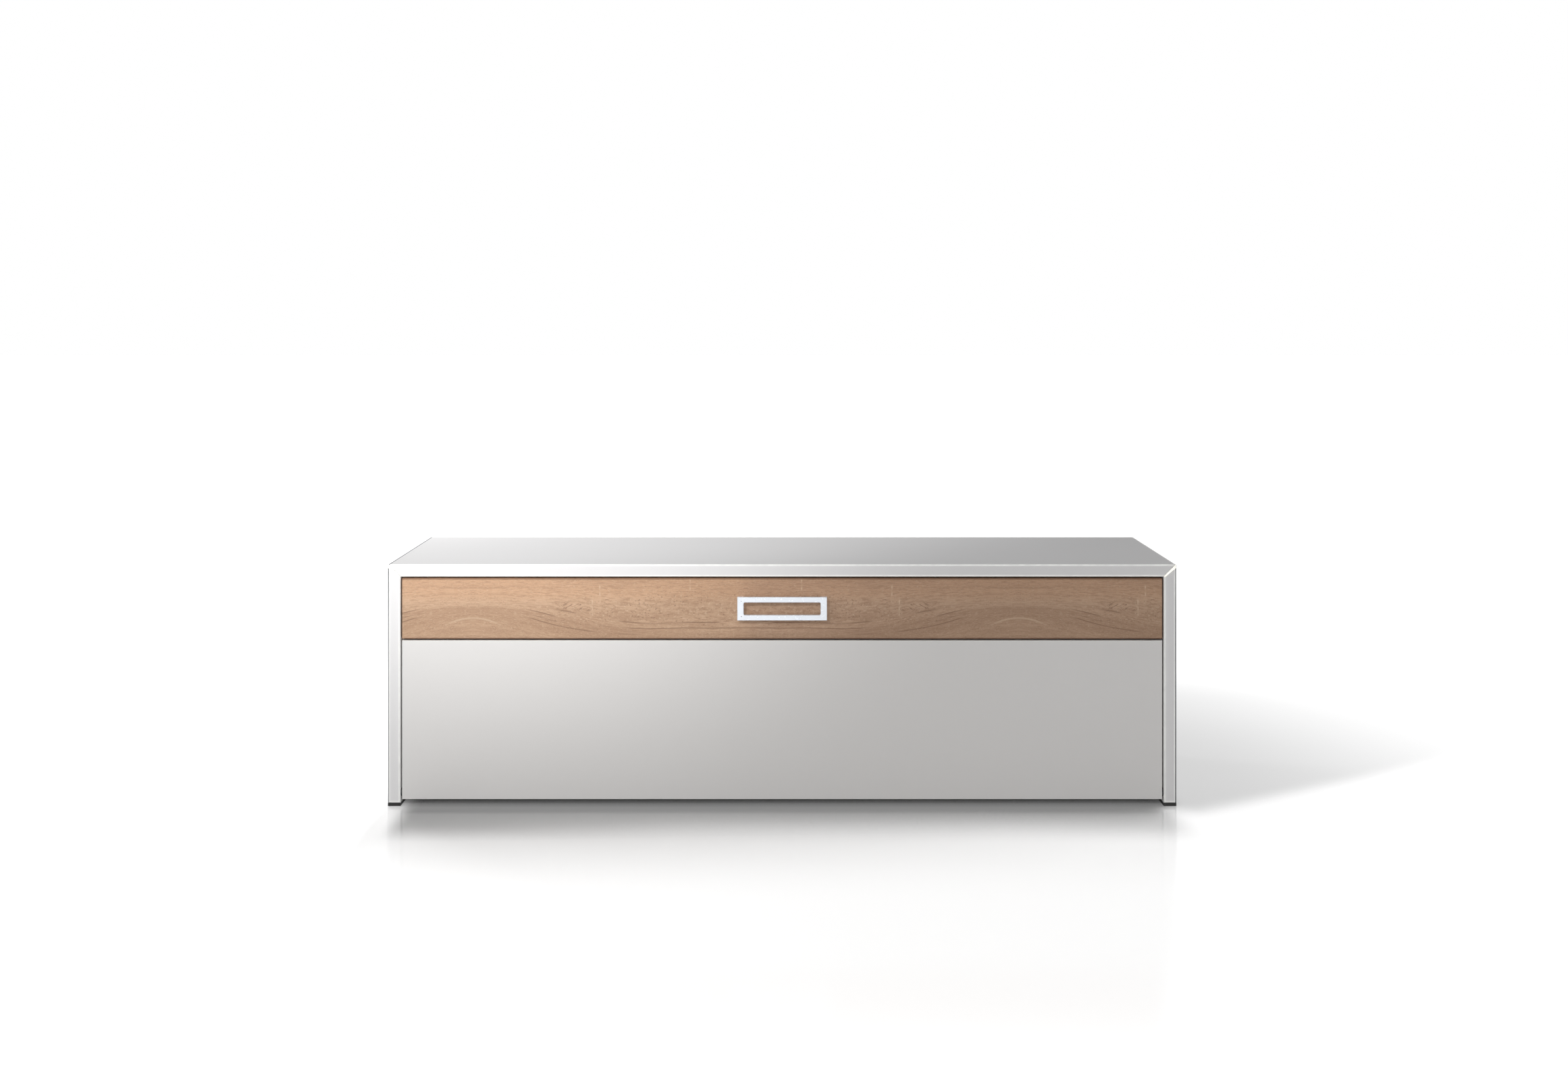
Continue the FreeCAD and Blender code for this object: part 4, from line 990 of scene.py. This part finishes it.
def cast_shadow(finish, across, along, away):
    """A painted soft shadow of the case, cast away from the left, paler the farther it runs."""
    low, high = cad_box
    beyond = finish.math("MAXIMUM", finish.less(across, high[0]), 0.0)
    behind = finish.math("MAXIMUM", finish.less(along, CAST_START), 0.0)
    weight = finish.rise(across, CAST_TURN, high[0], *CAST_WEIGHTS)
    run = finish.math("ADD", beyond, finish.product(behind, weight))
    border = finish.less(finish.math("ADD", along, CAST_FRONT), finish.product(beyond, CAST_SLOPE))
    border = finish.less(border, finish.rise(across, *CAST_CORNER))
    rear_border = finish.product(finish.less(across, low[0]), CAST_SLOPE)
    rear_border = finish.less(rear_border, finish.less(along, high[1]))
    inside = finish.product(
        finish.rise(border, *CAST_BORDER),
        finish.rise(rear_border, *CAST_REAR_BORDER),
        finish.rise(across, *CAST_LEFT_BORDER),
        finish.rise(away, SHADOW_REACH, SHADOW_REACH * CAST_FADE_SHARE),
    )
    return finish.rise(inside, 0.0, 1.0, 1.0, finish.rise(run, *CAST_FADE))


def floor_finish():
    """White to the camera and in reflections, with the shadows in its colour and in its glow."""
    finish = Finish("floor_white", Roughness=FLOOR_ROUGHNESS, Specular_IOR_Level=FLOOR_SHEEN)
    low, high = cad_box
    across, along, _ = finish.separate()
    away = floor_distance(finish)
    sky = finish.add("AmbientOcclusion", {"Distance": SKY_REACH}, samples=16).outputs["AO"]
    shade, contact = foot_shadow(finish, across, along, sky)
    cast = cast_shadow(finish, across, along, away)
    shade = finish.product(shade, cast)
    contact = finish.product(contact, cast)

    path = finish.add("LightPath")
    seen = finish.math("MAXIMUM", path.outputs["Is Camera Ray"], path.outputs["Is Glossy Ray"])
    share = finish.rise(seen, 0.0, 1.0, BOUNCE_SHADE, 1.0)
    kept = finish.product(share, finish.less(contact, 1.0))
    tone = finish.product(finish.math("ADD", kept, 1.0), FLOOR_WHITE)
    finish.set("Base Color", finish.add("CombineColor", {0: tone, 1: tone, 2: tone}).outputs[0])

    left_border = [low[0] + distance for distance in LEFT_LIFT_BORDER]
    near_lift = finish.rise(across, low[0], high[0], FLOOR_LIFT, RIGHT_LIFT)
    near_lift = finish.rise(across, *left_border, near_lift, FAR_LIFT)
    lift = finish.rise(away, *LIFT_REACH, near_lift, FAR_LIFT)
    glow = finish.math("MAXIMUM", finish.product(lift, shade), finish.rise(sky, *DEEP_GLOW))
    finish.set("Emission Color", (1.0, 1.0, 1.0))
    finish.set("Emission Strength", finish.product(seen, glow, finish.rise(sky, *DEEP_SHADE)))

    # Beyond the shadow's reach the floor is the same, without a shadow to work out
    far = finish.add("BsdfPrincipled")
    far.inputs["Roughness"].default_value = FLOOR_ROUGHNESS
    far.inputs["Specular IOR Level"].default_value = FLOOR_SHEEN
    finish.feed(far.inputs["Base Color"], (FLOOR_WHITE, FLOOR_WHITE, FLOOR_WHITE))
    finish.feed(far.inputs["Emission Color"], (1.0, 1.0, 1.0))
    finish.feed(far.inputs["Emission Strength"], finish.product(seen, FAR_LIFT))
    apart = finish.rise(away, *(SHADOW_REACH * part for part in FAR_SHADER_SHARES))
    both = finish.add("MixShader", {0: apart})
    finish.tree.links.new(finish.shader.outputs[0], both.inputs[1])
    finish.tree.links.new(far.outputs[0], both.inputs[2])
    surface = finish.tree.nodes["Material Output"].inputs["Surface"]
    finish.tree.links.new(both.outputs[0], surface)
    return finish


def make_floor():
    """A wide pale floor that shows white far off and keeps the cabinet's shadow near it."""
    mesh = bpy.data.meshes.new("floor")
    reach = FLOOR_SPAN
    corners = [(-reach, -reach, 0), (reach, -reach, 0), (reach, reach, 0), (-reach, reach, 0)]
    mesh.from_pydata(corners, [], [(0, 1, 2, 3)])
    mesh.materials.append(floor_finish().material)
    floor = add_object("floor", mesh)


def make_world():
    """A dome that dims overhead for the light, and plain white wherever it is seen."""
    world = bpy.data.worlds.new("studio")
    bpy.context.scene.world = world
    world.use_nodes = True
    tree = world.node_tree
    background = tree.nodes["Background"]
    path = tree.nodes.new("ShaderNodeLightPath")
    seen = path.outputs["Is Camera Ray"]
    for name in ("Is Glossy Ray", "Is Transmission Ray"):
        either = tree.nodes.new("ShaderNodeMath")
        either.operation = "MAXIMUM"
        tree.links.new(seen, either.inputs[0])
        tree.links.new(path.outputs[name], either.inputs[1])
        seen = either.outputs[0]
    direction = tree.nodes.new("ShaderNodeTexCoord").outputs["Generated"]
    apart = tree.nodes.new("ShaderNodeSeparateXYZ")
    tree.links.new(direction, apart.inputs[0])
    dome = tree.nodes.new("ShaderNodeMapRange")
    dome.interpolation_type = "SMOOTHERSTEP"
    dome.inputs["To Min"].default_value = WORLD_RIM
    dome.inputs["To Max"].default_value = WORLD_TOP
    tree.links.new(apart.outputs["Z"], dome.inputs["Value"])
    strength = tree.nodes.new("ShaderNodeMapRange")
    strength.inputs["To Max"].default_value = 1.0
    tree.links.new(dome.outputs["Result"], strength.inputs["To Min"])
    tree.links.new(seen, strength.inputs["Value"])
    tree.links.new(strength.outputs["Result"], background.inputs["Strength"])
    background.inputs["Color"].default_value = (1, 1, 1, 1)


def make_camera():
    data = bpy.data.cameras.new("camera")
    data.sensor_width = SENSOR_WIDTH
    data.lens = LENS
    data.shift_x = SHIFT_ACROSS
    data.shift_y = SHIFT_DOWN
    camera = add_object("camera", data)
    camera.location = CAMERA_PLACE
    camera.rotation_euler = (math.radians(90), 0, 0)
    bpy.context.scene.camera = camera


make_floor()
make_world()
soft_spot(
    "upper_left_spot", place=(-1.0, -2.5, 1.75), target=(-0.64, -0.218, 1.06),
    angle=45, radius=0.12, power=275,
)
soft_box(
    "left_box", place=(-2.5, -2.1, 1.9), target=(-0.3, -0.1, 0.2),
    width=1.0, height=1.0, power=9,
)
soft_box(
    "front_box", place=(0.4, -4.6, 0.9), target=(0.0, 0.0, 0.2),
    width=2.6, height=1.4, power=20,
)
soft_box(
    "rear_box", place=(-1.25, 1.0, 0.9), target=(-0.5, 0.0, 0.4),
    width=0.6, height=0.4, power=12, glossy=False,
)
make_camera()
bpy.context.scene.view_settings.view_transform = "Standard"
